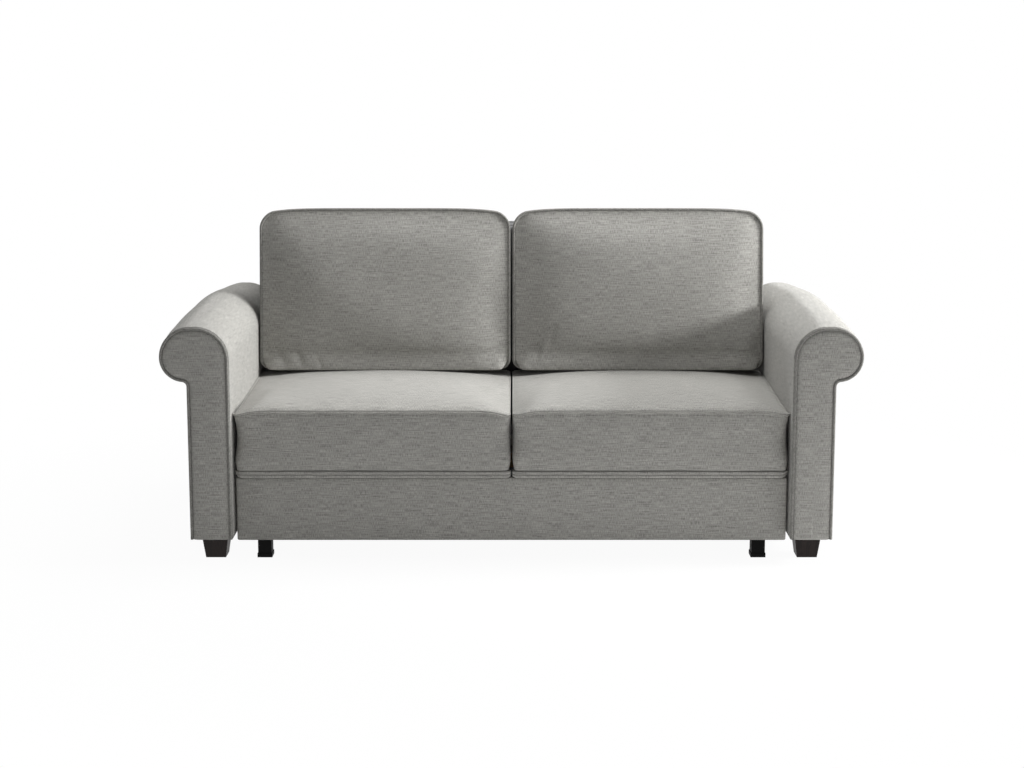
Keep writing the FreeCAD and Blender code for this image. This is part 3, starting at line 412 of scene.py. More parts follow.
# smooth made-up unevenness between -1 and 1: a sum of slow sines in two directions
def unevenness(a, b, seed):
    random = np.random.default_rng(seed)
    total = 0.0
    for _ in range(6):
        fa, fb = random.uniform(4, 22, 2)
        phase = random.uniform(0, 2 * math.pi, 2)
        total = total + np.sin(a * fa + phase[0]) * np.sin(b * fb + phase[1])
    return total / 3.0


# a soft step from 0 to 1 between two values
def ease(value, start, stop):
    share = np.clip((value - start) / (stop - start), 0, 1)
    return share * share * (3 - 2 * share)


# a soft step down, from 1 at the first value to 0 at the second
def fall(value, full, none):
    return ease(-value, -none, -full)


# 1 inside a span and 0 outside it, with a soft step at each end
def within(value, low, lowInside, highInside, high):
    return ease(value, low, lowInside) * fall(value, highInside, high)


# a smooth rise to 1 round zero
def bump(value, width):
    return np.exp(-((value / width) ** 2))


# creases: each is a line from one point to another on a face, with a width and a depth,
# fading at its ends; the result is how far the cloth sinks
def creaseDepth(a, b, creases):
    sink = np.zeros_like(a)
    for (a0, b0), (a1, b1), width, depth in creases:
        da, db = a1 - a0, b1 - b0
        length = da * da + db * db
        share = np.clip(((a - a0) * da + (b - b0) * db) / length, 0, 1)
        away = np.hypot(a - a0 - share * da, b - b0 - share * db)
        sink += depth * bump(away, width) * np.sin(math.pi * np.clip(share, 0.04, 0.96))
    return sink


# a round cord along a path: rings square to the path, turned into it with the given side
def cordMesh(name, path, radius, side, closed, squash=1.0, ringCount=12):
    ahead = np.roll(path, -1, 0) - np.roll(path, 1, 0)
    if not closed:
        ahead[0], ahead[-1] = path[1] - path[0], path[-1] - path[-2]
    ahead /= np.linalg.norm(ahead, axis=1)[:, None]
    out = np.cross(ahead, side)
    out /= np.linalg.norm(out, axis=1)[:, None]
    other = np.cross(out, ahead)
    angle = np.linspace(0, 2 * math.pi, ringCount, endpoint=False)
    cosine, sine = np.cos(angle)[:, None], np.sin(angle)[:, None]
    points = path[:, None] + radius * (cosine * out[:, None] * squash + sine * other[:, None])
    firstRim = list(range(ringCount))
    lastRim = [(len(path) - 1) * ringCount + corner for corner in firstRim]
    caps = [] if closed else [firstRim[::-1], lastRim]
    made = meshObject(name, points, ringFaces(len(path), ringCount, closed), caps)
    step = np.linalg.norm(np.diff(path, axis=0, prepend=path[:1]), axis=1)
    setClothByVertex(made, joined(np.cumsum(step)[:, None], angle * radius))
    return made


# Arms
arm = {
    "outer": 1.015,
    "inner": 0.816,
    "stump": 0.938,
    "top": 0.701,
    "bottom": 0.074,
    "innerRoll": 0.095,
    "scroll": 0.088,
    "underScroll": 0.071,
    "neck": 0.014,
    "coverFront": -0.5012,
    "back": 0.510,
    "frontEdge": 0.004,
    "rearEdge": 0.012,
    "coverSteps": 68,
    "outerPuff": 0.0035,
    "puffFade": 0.10,
    "footFade": 0.12,
    "crownPuff": 0.014,
    "crownWay": (0.6, 0.8),
    "rearFall": 0.006,
    "facingBack": -0.5014,
    "facingEdge": -0.5045,
    "facingFront": -0.5108,
    "facingInsets": (0.0083, 0.0083, 0.009, 0.011, 0.014, 0.019, 0.026, 0.036, 0.048, 0.058),
    "facingRound": 0.006,
    "facingSway": 0.0007,
    "pipingRadius": 0.0042,
    "pipingInset": 0.004,
    "pipingY": -0.5058,
}


def linePoints(start, stop, count):
    share = np.linspace(0, 1, count, endpoint=False)[:, None]
    return np.array(start) + (np.array(stop) - np.array(start)) * share


def arcPoints(x, z, radius, start, stop, count):
    angle = np.radians(np.linspace(start, stop, count, endpoint=False))
    return joined(x + radius * np.cos(angle), z + radius * np.sin(angle))


# the rolled arm seen from the front: up the inner side, round the scroll, under it,
# through the neck and down the outer side; inset moves the whole outline inwards
def armOutline(inset):
    top, bottom, roll, scroll, under, neck = (
        arm[name] for name in ("top", "bottom", "innerRoll", "scroll", "underScroll", "neck"))
    rollX, rollZ = arm["inner"] + roll, top - roll
    scrollX, scrollZ = arm["outer"] - scroll, top - scroll
    underX, neckX = arm["outer"] - under, arm["stump"] + neck
    drop = math.sqrt((under + neck) ** 2 - (neckX - underX) ** 2)
    turn = math.degrees(math.atan2(-drop, neckX - underX))
    inner, outer = arm["inner"] + inset, arm["stump"] - inset
    return np.concatenate([
        linePoints((inner, bottom), (inner, rollZ), 54),
        arcPoints(rollX, rollZ, roll - inset, 180, 90, 26),
        linePoints((rollX, top - inset), (scrollX, top - inset), 3),
        arcPoints(scrollX, scrollZ, scroll - inset, 90, 0, 26),
        arcPoints(underX, scrollZ, under - inset, 0, turn, 26),
        arcPoints(neckX, scrollZ - drop, neck + inset, turn + 180, 180, 8),
        linePoints((outer, scrollZ - drop), (outer, bottom), 46),
        np.array([[outer, bottom]]),
    ])


# the outline with its foot closed by a straight run
def closedArmOutline(inset):
    outline = armOutline(inset)
    return np.concatenate([outline, linePoints(outline[-1], outline[0], 13)[1:]])


def outwardOf(outline):
    ahead = np.roll(outline, -1, 0) - np.roll(outline, 1, 0)
    ahead /= np.maximum(np.linalg.norm(ahead, axis=1), 1e-9)[:, None]
    return joined(-ahead[:, 1], ahead[:, 0])


# cover: the outline carried from front to back, drawn in at both ends, a little fuller on
# its outer side and along its crown, and falling towards the back
def armCover(side, sign):
    outline = closedArmOutline(0.0)
    outward = outwardOf(outline)
    turned = np.linspace(0, math.pi / 2, 5)
    front, rear = arm["coverFront"], arm["back"]
    frontEdge, rearEdge = arm["frontEdge"], arm["rearEdge"]
    y = np.concatenate([
        front + frontEdge * (1 - np.sin(turned)),
        np.linspace(front + frontEdge, rear - rearEdge, arm["coverSteps"] + 2)[1:-1],
        rear - rearEdge * (1 - np.sin(turned)),
    ])
    inset = np.concatenate([frontEdge * (1 - np.cos(turned[::-1])), np.zeros(arm["coverSteps"]),
                            rearEdge * (1 - np.cos(turned))])
    x0, z0 = outline[:, 0][:, None], outline[:, 1][:, None]
    alongEnds = within(y, front, front + arm["puffFade"], rear - arm["puffFade"], rear)
    outerSide = ease(x0, arm["inner"] + 0.05, arm["stump"])
    outerSide = outerSide * ease(z0, arm["bottom"], arm["bottom"] + arm["footFade"])
    puff = arm["outerPuff"] * outerSide * alongEnds * (1 + 0.5 * unevenness(z0 * 1.2, y * 0.9, 3))
    share = (y - front) / (rear - front)
    crown = np.clip(outward @ np.array(arm["crownWay"]), 0, 1)[:, None] ** 2
    along = arm["crownPuff"] * np.sin(math.pi * share) ** 1.2 - arm["rearFall"] * ease(share, 0.7, 1.0)
    shift = puff + crown * along - inset
    points = joined(sign * (x0 + outward[:, :1] * shift), y, z0 + outward[:, 1:] * shift)
    made = tubeObject(f"{side}ArmCover", points, sign < 0)
    length = np.cumsum(np.linalg.norm(np.diff(outline, axis=0, prepend=outline[:1]), axis=1))
    setClothByVertex(made, joined(y * sign, length[:, None]))
    cloth = made.data.uv_layers["cloth"].data
    for polygon in list(made.data.polygons)[-2:]:
        for corner in polygon.loop_indices:
            place = made.data.vertices[made.data.loops[corner].vertex_index].co
            cloth[corner].uv = (place.x, place.z)
    return finishPiece(made, "carcass", f"{side}_arm_cover", fill=0.9)


# facing: the outline stepped inwards ring by ring, rising from the piping to a nearly flat front
def armFacing(side, sign):
    insets = np.array(arm["facingInsets"])
    rise = 1 - np.exp(-(insets - insets[0]) / arm["facingRound"])
    depth = arm["facingEdge"] + (arm["facingFront"] - arm["facingEdge"]) * rise
    depth[0] = arm["facingBack"]
    rings = np.stack([closedArmOutline(inset) for inset in insets], 1)
    points = joined(sign * rings[..., 0], depth, rings[..., 1])
    sway = unevenness(points[..., 0] * 1.6, points[..., 2] * 1.1, 11) * arm["facingSway"]
    points[..., 1] -= sway * ease(insets, 0.010, 0.03)
    made = tubeObject(f"{side}ArmFacing", points, sign > 0)
    return finishPiece(made, "carcass", f"{side}_arm_facing", fill=0.9)


def armPiping(side, sign):
    outline = armOutline(arm["pipingInset"])
    path = joined(sign * outline[:, 0], arm["pipingY"], outline[:, 1])
    made = cordMesh(f"{side}ArmPiping", path, arm["pipingRadius"], (0, 1, 0), False)
    return finishPiece(made, "carcass", f"{side}_arm_piping", slotName="grey_piping")


for side, sign in sides:
    armCover(side, sign)
    armFacing(side, sign)
    armPiping(side, sign)
print("arms made")


# Slabs
# a closed box with rounded edges: points on the six faces of a box are pulled on to
# a radius round the box inside it; lines are closer together near the edges
def slabPoints(low, high, radius, spacing):
    low, high = np.array(low, float), np.array(high, float)
    lines = []
    for axis in range(3):
        edge = radius * (1 - np.cos(np.linspace(0, math.pi / 2, 5)))
        count = max(2, int((high[axis] - low[axis] - 2 * radius) / spacing) + 1)
        inside = np.linspace(low[axis] + radius, high[axis] - radius, count)
        lines.append(np.concatenate([low[axis] + edge[:-1], inside, (high[axis] - edge[:-1])[::-1]]))
    points, faces, start = [], [], 0
    for axis in range(3):
        a, b = (axis + 1) % 3, (axis + 2) % 3
        for end in (0, 1):
            gridA, gridB = np.meshgrid(lines[a], lines[b], indexing="ij")
            block = np.empty((*gridA.shape, 3))
            block[..., a], block[..., b] = gridA, gridB
            block[..., axis] = high[axis] if end else low[axis]
            faces.append(gridFaces(*gridA.shape, False, not end) + start)
            points.append(block.reshape(-1, 3))
            start += gridA.size
    points, faces = np.concatenate(points), np.concatenate(faces)
    core = np.clip(points, low + radius, high - radius)
    away = points - core
    points = core + radius * away / np.maximum(np.linalg.norm(away, axis=1), 1e-12)[:, None]
    _, first, where = np.unique(np.round(points, 6), axis=0, return_index=True, return_inverse=True)
    return points[first], where.reshape(-1)[faces]


back = {
    "low": (-0.8155, 0.4742, 0.0742),
    "high": (0.8155, 0.5098, 0.9048),
    "radius": 0.009,
    "spacing": 0.012,
    "puff": 0.003,
    "rearStep": (0.49, 0.508),
    "fullX": (-0.815, -0.72, 0.72, 0.815),
    "fullZ": (0.074, 0.15, 0.83, 0.904),
    "seams": (-0.408, 0.0, 0.408),
    "seamWidth": 0.0035,
    "seamDepth": 0.0022,
}


# back cover: a slab whose rear is a little full between three upright seams
def backCover():
    points, faces = slabPoints(back["low"], back["high"], back["radius"], back["spacing"])
    x, y, z = points.T
    rear = ease(y, *back["rearStep"])
    inner = within(x, *back["fullX"]) * within(z, *back["fullZ"])
    points[:, 1] += rear * inner * back["puff"] * (0.6 + 0.4 * unevenness(x, z, 21))
    for seam in back["seams"]:
        points[:, 1] -= rear * back["seamDepth"] * bump(x - seam, back["seamWidth"])
    return finishPiece(meshObject("backCover", points, faces), "carcass", "back_cover", fill=0.8)


backCover()

base = {
    "low": (-0.810, -0.4580, 0.057),
    "high": (0.810, -0.4380, 0.247),
    "radius": 0.006,
    "spacing": 0.008,
    "puff": 0.0018,
    "frontStep": (-0.4575, -0.444),
    "fullX": (0.0, 0.05, 0.74, 0.81),
    "fullZ": (0.057, 0.09, 0.21, 0.247),
    "seamWidth": 0.0024,
    "seamDepth": 0.0034,
}


# base panel: board wrapped in cloth, with one upright seam in the middle
def basePanel():
    points, faces = slabPoints(base["low"], base["high"], base["radius"], base["spacing"])
    x, y, z = points.T
    front = fall(y, *base["frontStep"])
    inner = within(np.abs(x), *base["fullX"]) * within(z, *base["fullZ"])
    points[:, 1] -= front * base["puff"] * inner * (0.5 + 0.5 * unevenness(x * 1.3, z * 2.0, 5))
    points[:, 1] += front * base["seamDepth"] * bump(x, base["seamWidth"])
    return finishPiece(meshObject("basePanel", points, faces), "seat_section", "base_panel", fill=0.9)


basePanel()

lip = {
    "inner": 0.0026,
    "outer": 0.811,
    "low": 0.249,
    "high": 0.2685,
    "front": -0.4725,
    "back": -0.4345,
    "turnIn": 0.024,
    "innerRound": 0.004,
    "stitchFrom": 0.02,
    "stitchTo": 0.785,
    "stitchSink": 0.0036,
    "stitchPitch": 0.0062,
    "stitchLength": 0.0042,
    "stitchRadius": 0.0006,
}


# lip: two rolls one above the other, carried across the seat; the outer end is turned in and up
def seatLip(side, sign):
    middle = (lip["low"] + lip["high"]) / 2
    roll = (lip["high"] - lip["low"]) / 4
    angle = np.radians(np.linspace(-90, 90, 11))
    depth = lip["front"] + roll * 0.7 * (1 - np.cos(angle))
    rolls = [joined(depth, centre + roll * np.sin(angle)) for centre in (middle - roll, middle + roll)]
    loop = np.concatenate([*rolls, [[lip["back"], lip["high"]], [lip["back"], lip["low"]]]])
    turnFrom = lip["outer"] - lip["turnIn"]
    x = np.concatenate([lip["inner"] + lip["innerRound"] * (1 - np.cos(np.linspace(0, math.pi / 2, 5))),
                        np.linspace(lip["inner"] + 3 * lip["innerRound"], turnFrom, 70),
                        lip["outer"] - lip["turnIn"] * (1 - np.sin(np.linspace(0, math.pi / 2, 10)[1:]))])
    outer = np.clip((x - turnFrom) / lip["turnIn"], 0, 1)
    inner = np.clip(1 - (x - lip["inner"]) / 0.009, 0, 1)
    lower = np.sqrt(np.maximum(1 - 0.97 * outer**2, 0)) * np.sqrt(np.maximum(1 - 0.6 * inner**2, 0))
    shallower = 1 - 0.35 * outer**2 - 0.12 * inner**2
    points = joined(sign * x, lip["back"] + (loop[:, :1] - lip["back"]) * shallower,
                    lip["high"] + (loop[:, 1:] - lip["high"]) * lower)
    made = tubeObject(f"{side}SeatLip", points, sign > 0)
    finishPiece(made, "seat_section", f"{side}_seat_lip", fill=0.9)


# stitches: short five-sided spindles end to end in the groove between the lip's two rolls
def lipStitches(side, sign):
    middle = (lip["low"] + lip["high"]) / 2
    start = np.array([sign * lip["stitchFrom"], lip["front"] + lip["stitchSink"], middle])
    along = np.array([sign, 0, 0])
    count = int((lip["stitchTo"] - lip["stitchFrom"]) / lip["stitchPitch"])
    middles = start + along * ((np.arange(count) + 0.5) * lip["stitchPitch"])[:, None]
    span = np.array([-0.5, -0.3, 0.3, 0.5])[:, None, None] * lip["stitchLength"]
    girth = np.array([0.15, 0.9, 0.9, 0.15])[:, None, None] * lip["stitchRadius"]
    angle = np.linspace(0, 2 * math.pi, 5, endpoint=False)
    ring = joined(0, -np.cos(angle), -sign * np.sin(angle))
    points = middles[:, None, None] + span * along + girth * ring
    around, corners = len(angle), len(span) * len(angle)
    starts = (np.arange(count) * corners)[:, None]
    faces = (ringFaces(len(span), around, False, True)[None] + starts[..., None]).reshape(-1, 4)
    caps = (starts + np.arange(around)).tolist() + (starts + corners - 1 - np.arange(around)).tolist()
    made = meshObject(f"{side}LipStitches", points, faces, caps)
    # the stitches use the piping's darkened weave: painted shade in the groove
    finishPiece(made, "seat_section", slotName="grey_piping")


for side, sign in sides:
    seatLip(side, sign)
    lipStitches(side, sign)
print("base panel, lips and back cover made")

# Mattress sections
mattress = {
    "half": 0.758,
    "low": 0.0393,
    "high": 0.108,
    "foldEnd": 0.5735,
    "freeRound": 0.045,
    "radius": 0.013,
    "quiltPitch": 0.11,
    "quiltDepth": 0.0045,
    "quiltFrom": 0.085,
    "border": 0.045,
    "startBorder": 0.06,
    "tapeWidth": 0.012,
    "tapeDepth": 0.0015,
    "spacing": 0.012,
    "angle": 89.0,
}


# mattress: a slab with a large round at its free end and diamond quilting on top,
# drawn lying flat and then turned up about the section's pivot
def mattressSection(part, start, along, pivotY, pivotZ):
    half, floor, high, end = (mattress[key] for key in ("half", "low", "high", "foldEnd"))
    low = (-half, start, floor)
    points, faces = slabPoints(low, (half, end, high), mattress["radius"], mattress["spacing"])
    x, y, z = points.T
    top = ease(z, mattress["quiltFrom"], high)
    pitch = math.pi / mattress["quiltPitch"]
    across = np.abs(np.sin((x + y) * pitch)) ** 0.35 * np.abs(np.sin((x - y) * pitch)) ** 0.35
    border = within(y, start, start + mattress["startBorder"], end - mattress["border"], end)
    border *= ease(half - np.abs(x), 0.0, mattress["border"])
    z = z - top * border * mattress["quiltDepth"] * (1 - across)
    side = bump(z - (floor + high) / 2, mattress["tapeWidth"]) * mattress["tapeDepth"]
    x = x - np.sign(x) * side * ease(np.abs(x), 0.74, half)
    freeRound = mattress["freeRound"]
    reach = np.clip(y - start, 0, freeRound)
    limit = high - freeRound + np.sqrt(freeRound**2 - (freeRound - reach) ** 2)
    z = floor + (z - floor) * np.maximum((limit - floor) / (high - floor), 0.12)
    y = y * along
    turn = math.radians(mattress["angle"]) * along
    points = joined(x, pivotY + y * math.cos(turn) - z * math.sin(turn),
                    pivotZ + y * math.sin(turn) + z * math.cos(turn))
    made = meshObject(f"{part}Mattress", points, faces[:, ::along])
    node = f"{part}_mattress"
    return finishPiece(made, f"{part}_section", node, slotName="mattress_ticking", fill=0.9, turn=-turn)


for part, start, along, joint in (("head", -0.060, -1, "bed_fold"), ("middle", -0.108, 1, "seat_fold")):
    mattressSection(part, start, along, *pivots[joint][1:])
print("mattress sections made")

# Cushions
puffing = {
    "voxel": 0.0065,
    "frames": 20,
    "cap": 0.024,
}
clothSettings = {
    "quality": 4,
    "mass": 0.25,
    "tension_stiffness": 12,
    "compression_stiffness": 12,
    "shear_stiffness": 6,
    "bending_stiffness": 0.8,
    "use_pressure": True,
    "vertex_group_mass": "seams",
}


def applied(made):
    graph = bpy.context.evaluated_depsgraph_get()
    mesh = bpy.data.meshes.new_from_object(made.evaluated_get(graph))
    made.modifiers.clear()
    made.data = mesh
    return mesh


# padded shape: the CAD solid drawn in a little, remeshed evenly, filled by pressure with the
# seams held, each point's move capped, and divided once
def puffedShape(name, node, pinShare, values):
    mesh = cadNodes[node].data.copy()
    made = placed(name, mesh)
    shell = bmesh.new()
    shell.from_mesh(mesh)
    bmesh.ops.remove_doubles(shell, verts=shell.verts, dist=1e-5)
    bmesh.ops.recalc_face_normals(shell, faces=shell.faces)
    shell.to_mesh(mesh)
    shell.free()
    remesh = made.modifiers.new("remesh", "REMESH")
    remesh.mode = "VOXEL"
    remesh.voxel_size = puffing["voxel"]
    smooth = made.modifiers.new("smooth", "SMOOTH")
    smooth.factor = 0.5
    smooth.iterations = 3
    mesh = applied(made)
    start = coordinates(mesh)
    pins = pinShare(start)
    start = start - vertexNormals(mesh) * (values["shrink"] * (1 - pins))[:, None]
    mesh.vertices.foreach_set("co", start.ravel())
    group = made.vertex_groups.new(name="seams")
    for weight in np.unique(np.round(pins, 1)):
        if weight > 0:
            group.add(np.nonzero(np.round(pins, 1) == weight)[0].tolist(), float(weight), "REPLACE")
    cloth = made.modifiers.new("cloth", "CLOTH")
    for setting, value in clothSettings.items():
        setattr(cloth.settings, setting, value)
    cloth.settings.uniform_pressure_force = values["pressure"]
    cloth.settings.effector_weights.gravity = 0
    cloth.point_cache.frame_start = 1
    cloth.point_cache.frame_end = puffing["frames"]
    for number in range(1, puffing["frames"] + 1):
        scene.frame_set(number)
    graph = bpy.context.evaluated_depsgraph_get()
    moved = coordinates(made.evaluated_get(graph).data) - start
    made.modifiers.clear()
    length = np.linalg.norm(moved, axis=1)[:, None]
    moved *= np.minimum(1, puffing["cap"] / np.maximum(length, 1e-9))
    mesh.vertices.foreach_set("co", (start + moved).ravel())
    made.vertex_groups.clear()
    scene.frame_set(1)
    divide = made.modifiers.new("divide", "SUBSURF")
    divide.levels = divide.render_levels = 1
    smoothFaces(applied(made))
    return made


seat = {
    "inner": 0.0018,
    "outer": 0.8150,
    "front": -0.471,
    "back": 0.19993,
    "bottom": 0.2743,
    "welt": 0.444,
    "crown": 0.469,
    "crownRise": 0.006,
    "frontFall": 0.22,
    "endDrop": 0.013,
    "endReach": 0.05,
    "sideGap": 0.0004,
    "footIn": 0.004,
    "footReach": 0.03,
    "frontIn": 0.0012,
    "hemDrop": 0.0058,
    "grooveBelow": 0.0045,
    "grooveWidth": 0.0028,
    "grooveDepth": 0.0016,
    "topWaves": 0.0016,
    "faceWaves": 0.0014,
    "pucker": 0.0005,
    "puckerReach": 0.016,
    "creases": [((0.34, 0.291), (0.44, 0.296), 0.007, 0.0016),
                ((0.70, 0.29), (0.795, 0.285), 0.008, 0.0014)],
    "corner": 0.020,
    "weltRadius": 0.0031,
    "weltLift": 0.0065,
    "weltSink": 0.007,
    "shrink": 0.004,
    "pressure": 3.0,
}


# share of holding for the seat cushion: its welt line and its foot
def seatPins(points):
    welt = bump(points[:, 2] - seat["welt"], 0.006)
    foot = fall(points[:, 2], seat["bottom"], seat["bottom"] + 0.012)
    return np.clip(np.maximum(welt, foot), 0, 1)


# how far a body reaches at each level, by the largest value in each band of levels
def reachByLevel(value, level, low, high, bands=40):
    edges = np.linspace(low, high, bands + 1)
    band = np.clip(np.searchsorted(edges, level) - 1, 0, bands - 1)
    reach = np.full(bands, -np.inf)
    np.maximum.at(reach, band, value)
    middles = (edges[:-1] + edges[1:]) / 2
    known = np.isfinite(reach)
    return np.interp(level, middles[known], reach[known])


# the seat's front corners hang lower than the middle of its front
def endDrop(x, y):
    toEnd = np.maximum(np.minimum(x - seat["inner"], seat["outer"] - x), 0)
    return seat["endDrop"] * bump(toEnd, seat["endReach"]) * fall(y, -0.4, 0.1)


# highest level of the seat's top at each depth: level under the back cushions, a little
# higher before them, and falling in a quarter round to the welt at the front
def crownLevel(y):
    rise = seat["crownRise"] * fall(y, -0.15, 0.05)
    share = np.clip((seat["front"] + seat["frontFall"] - y) / seat["frontFall"], 0, 1)
    return seat["welt"] + (seat["crown"] - seat["welt"] + rise) * np.sqrt(1 - 0.96 * share**2)


# the seat cushion's sides and front are brought out to upright faces, level by level below
# the welt, and the front's foot reaches down to the lip
def fitSeat(x, y, z):
    middle, half = (seat["inner"] + seat["outer"]) / 2, (seat["outer"] - seat["inner"]) / 2
    low, high = z.min(), z.max()
    below = fall(z, seat["welt"], seat["welt"] + 0.012)
    foot = fall(z, seat["bottom"], seat["bottom"] + seat["footReach"])
    wanted = half - seat["sideGap"] - foot * seat["footIn"]
    actual = reachByLevel(np.abs(x - middle), z, low, high)
    x = middle + (x - middle) * (1 + (wanted / actual - 1) * below)
    front = seat["front"]
    frontGap = seat["frontIn"] * (1 - foot) - front - reachByLevel(-y, z, low, high)
    y = y - frontGap * fall(y, front + 0.01, front + 0.12) * below
    reach = reachByLevel(z, y, y.min(), y.max())
    share = (crownLevel(y) - seat["welt"]) / np.maximum(reach - seat["welt"], 0.003)
    z = np.where(z > seat["welt"], seat["welt"] + (z - seat["welt"]) * share, z)
    hem = fall(y, front + 0.012, front + 0.034) * foot
    return x, y, np.maximum(z, seat["bottom"]) - seat["hemDrop"] * hem


# seams and folds of the seat cushion: the welt line drawn in a little, the top falling off
# softly to it, puckers by the welt, and the foot of the front tucked under
def shapeSeat(made, sign, seed):
    mesh = made.data
    points, normals = coordinates(mesh), vertexNormals(mesh)
    x, y, z = points[:, 0] * sign, points[:, 1], points[:, 2]
    side = 1 - np.abs(normals[:, 2])
    groove = bump(z - seat["welt"] + seat["grooveBelow"], seat["grooveWidth"])
    groove *= side * seat["grooveDepth"]
    top = ease(z, seat["welt"], seat["welt"] + 0.01)
    front = fall(y, seat["front"], seat["front"] + 0.05)
    waves = unevenness(x, y, seed) * seat["topWaves"] * top
    faceWaves = unevenness(x * 1.5, z * 2.5, seed + 1) * seat["faceWaves"] * front * (1 - top)
    pucker = np.sin(x * 260 + 2 * np.sin(x * 37)) * seat["pucker"]
    pucker *= bump(z - seat["welt"], seat["puckerReach"]) * front
    sink = creaseDepth(x, z, seat["creases"]) * front * (1 - top)
    x, y, z = fitSeat(x, y, z)
    z = z - endDrop(x, y) * ease(z, seat["welt"] - 0.10, seat["welt"])
    points = joined(x * sign, y, z)
    points += normals * (waves + faceWaves + pucker - groove - sink)[:, None]
    points[:, 0] = sign * np.clip(points[:, 0] * sign, seat["inner"] + 0.0002, seat["outer"] - 0.0003)
    points[:, 1] = np.clip(points[:, 1], seat["front"] - 0.004, seat["back"])
    movePoints(mesh, points)


# a rounded rectangle as a closed path: a quarter round at each corner, from low x and low y
# onwards, and the straight side that follows it
def roundedPath(x, y, radii, spacing=0.006):
    arcs, ends = [], []
    for number, ((i, j), radius) in enumerate(zip(((0, 0), (1, 0), (1, 1), (0, 1)), radii)):
        centre = (x[i] + radius * (1 - 2 * i), y[j] + radius * (1 - 2 * j))
        start = (180 + 90 * number) % 360
        arcs.append(arcPoints(*centre, radius, start, start + 90, max(6, int(radius * 1.57 / spacing))))
        ends.append(arcPoints(*centre, radius, start + 90, start + 180, 1)[0])
    runs = []
    for number, end in enumerate(ends):
        begin = arcs[(number + 1) % 4][0]
        runs += [arcs[number], linePoints(end, begin, max(2, int(math.dist(end, begin) / spacing)))]
    return np.concatenate(runs)


# welt: a thin folded seam along the top of the front, lower at its corners and sinking into
# the cushion along the sides
def seatWelt(side, sign):
    inset = seat["weltRadius"] * 0.4
    spanX = (seat["inner"] + inset + 0.002, seat["outer"] - inset - 0.001)
    spanY = (seat["front"] + inset - 0.0046, seat["back"] - inset - 0.002)
    x, y = roundedPath(spanX, spanY, (seat["corner"],) * 4).T
    sink = seat["weltSink"] * ease(y, seat["front"] + 0.015, seat["front"] + 0.05)
    level = seat["welt"] + seat["weltLift"] - endDrop(x, y) - sink
    path = joined(sign * x, y, level)[::sign]
    made = cordMesh(f"{side}SeatWelt", path, seat["weltRadius"], (0, 0, 1), True, squash=0.8, ringCount=8)
    return finishPiece(made, "seat_section")


# a mirror image of a piece about the middle of the sofa, with its faces turned outwards again
def mirrorImage(source, name):
    mesh = source.data.copy()
    mesh.flip_normals()
    movePoints(mesh, coordinates(mesh) * (-1, 1, 1))
    return placed(name, mesh)


# the right cushion is filled, and the left one is its mirror image before both are shaped
def cushionPair(name, node, pinShare, values):
    right = puffedShape(f"right{name}", f"right_{node}", pinShare, values)
    return zip(sides, (mirrorImage(right, f"left{name}"), right))


for (side, sign), made in cushionPair("SeatCushion", "seat_cushion", seatPins, seat):
    shapeSeat(made, sign, 31 if sign < 0 else 47)
    finishPiece(made, "seat_section", f"{side}_seat_cushion", fill=0.85)
    seatWelt(side, sign)
print("seat cushions made")

rest = {
    "gap": 0.003,
    "outer": 0.812,
    "front": 0.09093,
    "base": 0.4693,
    "length": 0.520,
    "lean": 7.0,
    "topCorner": 0.045,
    "bottomCorner": 0.028,
    "piping": 0.0045,
    "cornerDrop": 0.019,
    "belly": 0.017,
    "bellyDrop": 0.016,
    "dome": 0.018,
    "inset": 0.0030,
    "waves": 0.0025,
    "gathers": 0.0004,
    "gatherPlace": 0.016,
    "gatherReach": 0.012,
    "creaseShare": 0.65,
    "pipingTuck": 0.007,
    "shrink": 0.006,
    "pressure": 4.0,
}
leanCosine, leanSine = math.cos(math.radians(rest["lean"])), math.sin(math.radians(rest["lean"]))


# from the cushion's own plane (across, up its face, out of its face) to the sofa, and back
def toRest(across, up, out):
    y = rest["front"] + up * leanSine - out * leanCosine
    z = rest["base"] + up * leanCosine + out * leanSine
    return joined(across, y, z)


def fromRest(points):
    y, z = points[..., 1] - rest["front"], points[..., 2] - rest["base"]
    return points[..., 0], y * leanSine + z * leanCosine, -y * leanCosine + z * leanSine


# distance to the nearest edge of the cushion's front
def toRestEdge(across, up):
    toSide = np.minimum(across - rest["gap"], rest["outer"] - across)
    return np.minimum(toSide, np.minimum(up, rest["length"] - up))


# the top corners of the cushion hang a little lower than its middle
def cornersDown(across, up):
    middle, half = (rest["gap"] + rest["outer"]) / 2, (rest["outer"] - rest["gap"]) / 2
    share = np.clip(np.abs(across - middle) / half, 0, 1)
    return up - rest["cornerDrop"] * share**6 * ease(up, 0.25, rest["length"])


# share of holding for the back cushion: its front seam and its foot
def restPins(points):
    _, up, out = fromRest(points)
    toEdge = toRestEdge(np.abs(points[:, 0]), up)
    seam = bump(out, 0.007) * fall(toEdge, 0.014, 0.03)
    foot = fall(points[:, 2], rest["base"], rest["base"] + 0.010)
    return np.clip(np.maximum(seam, foot), 0, 1)


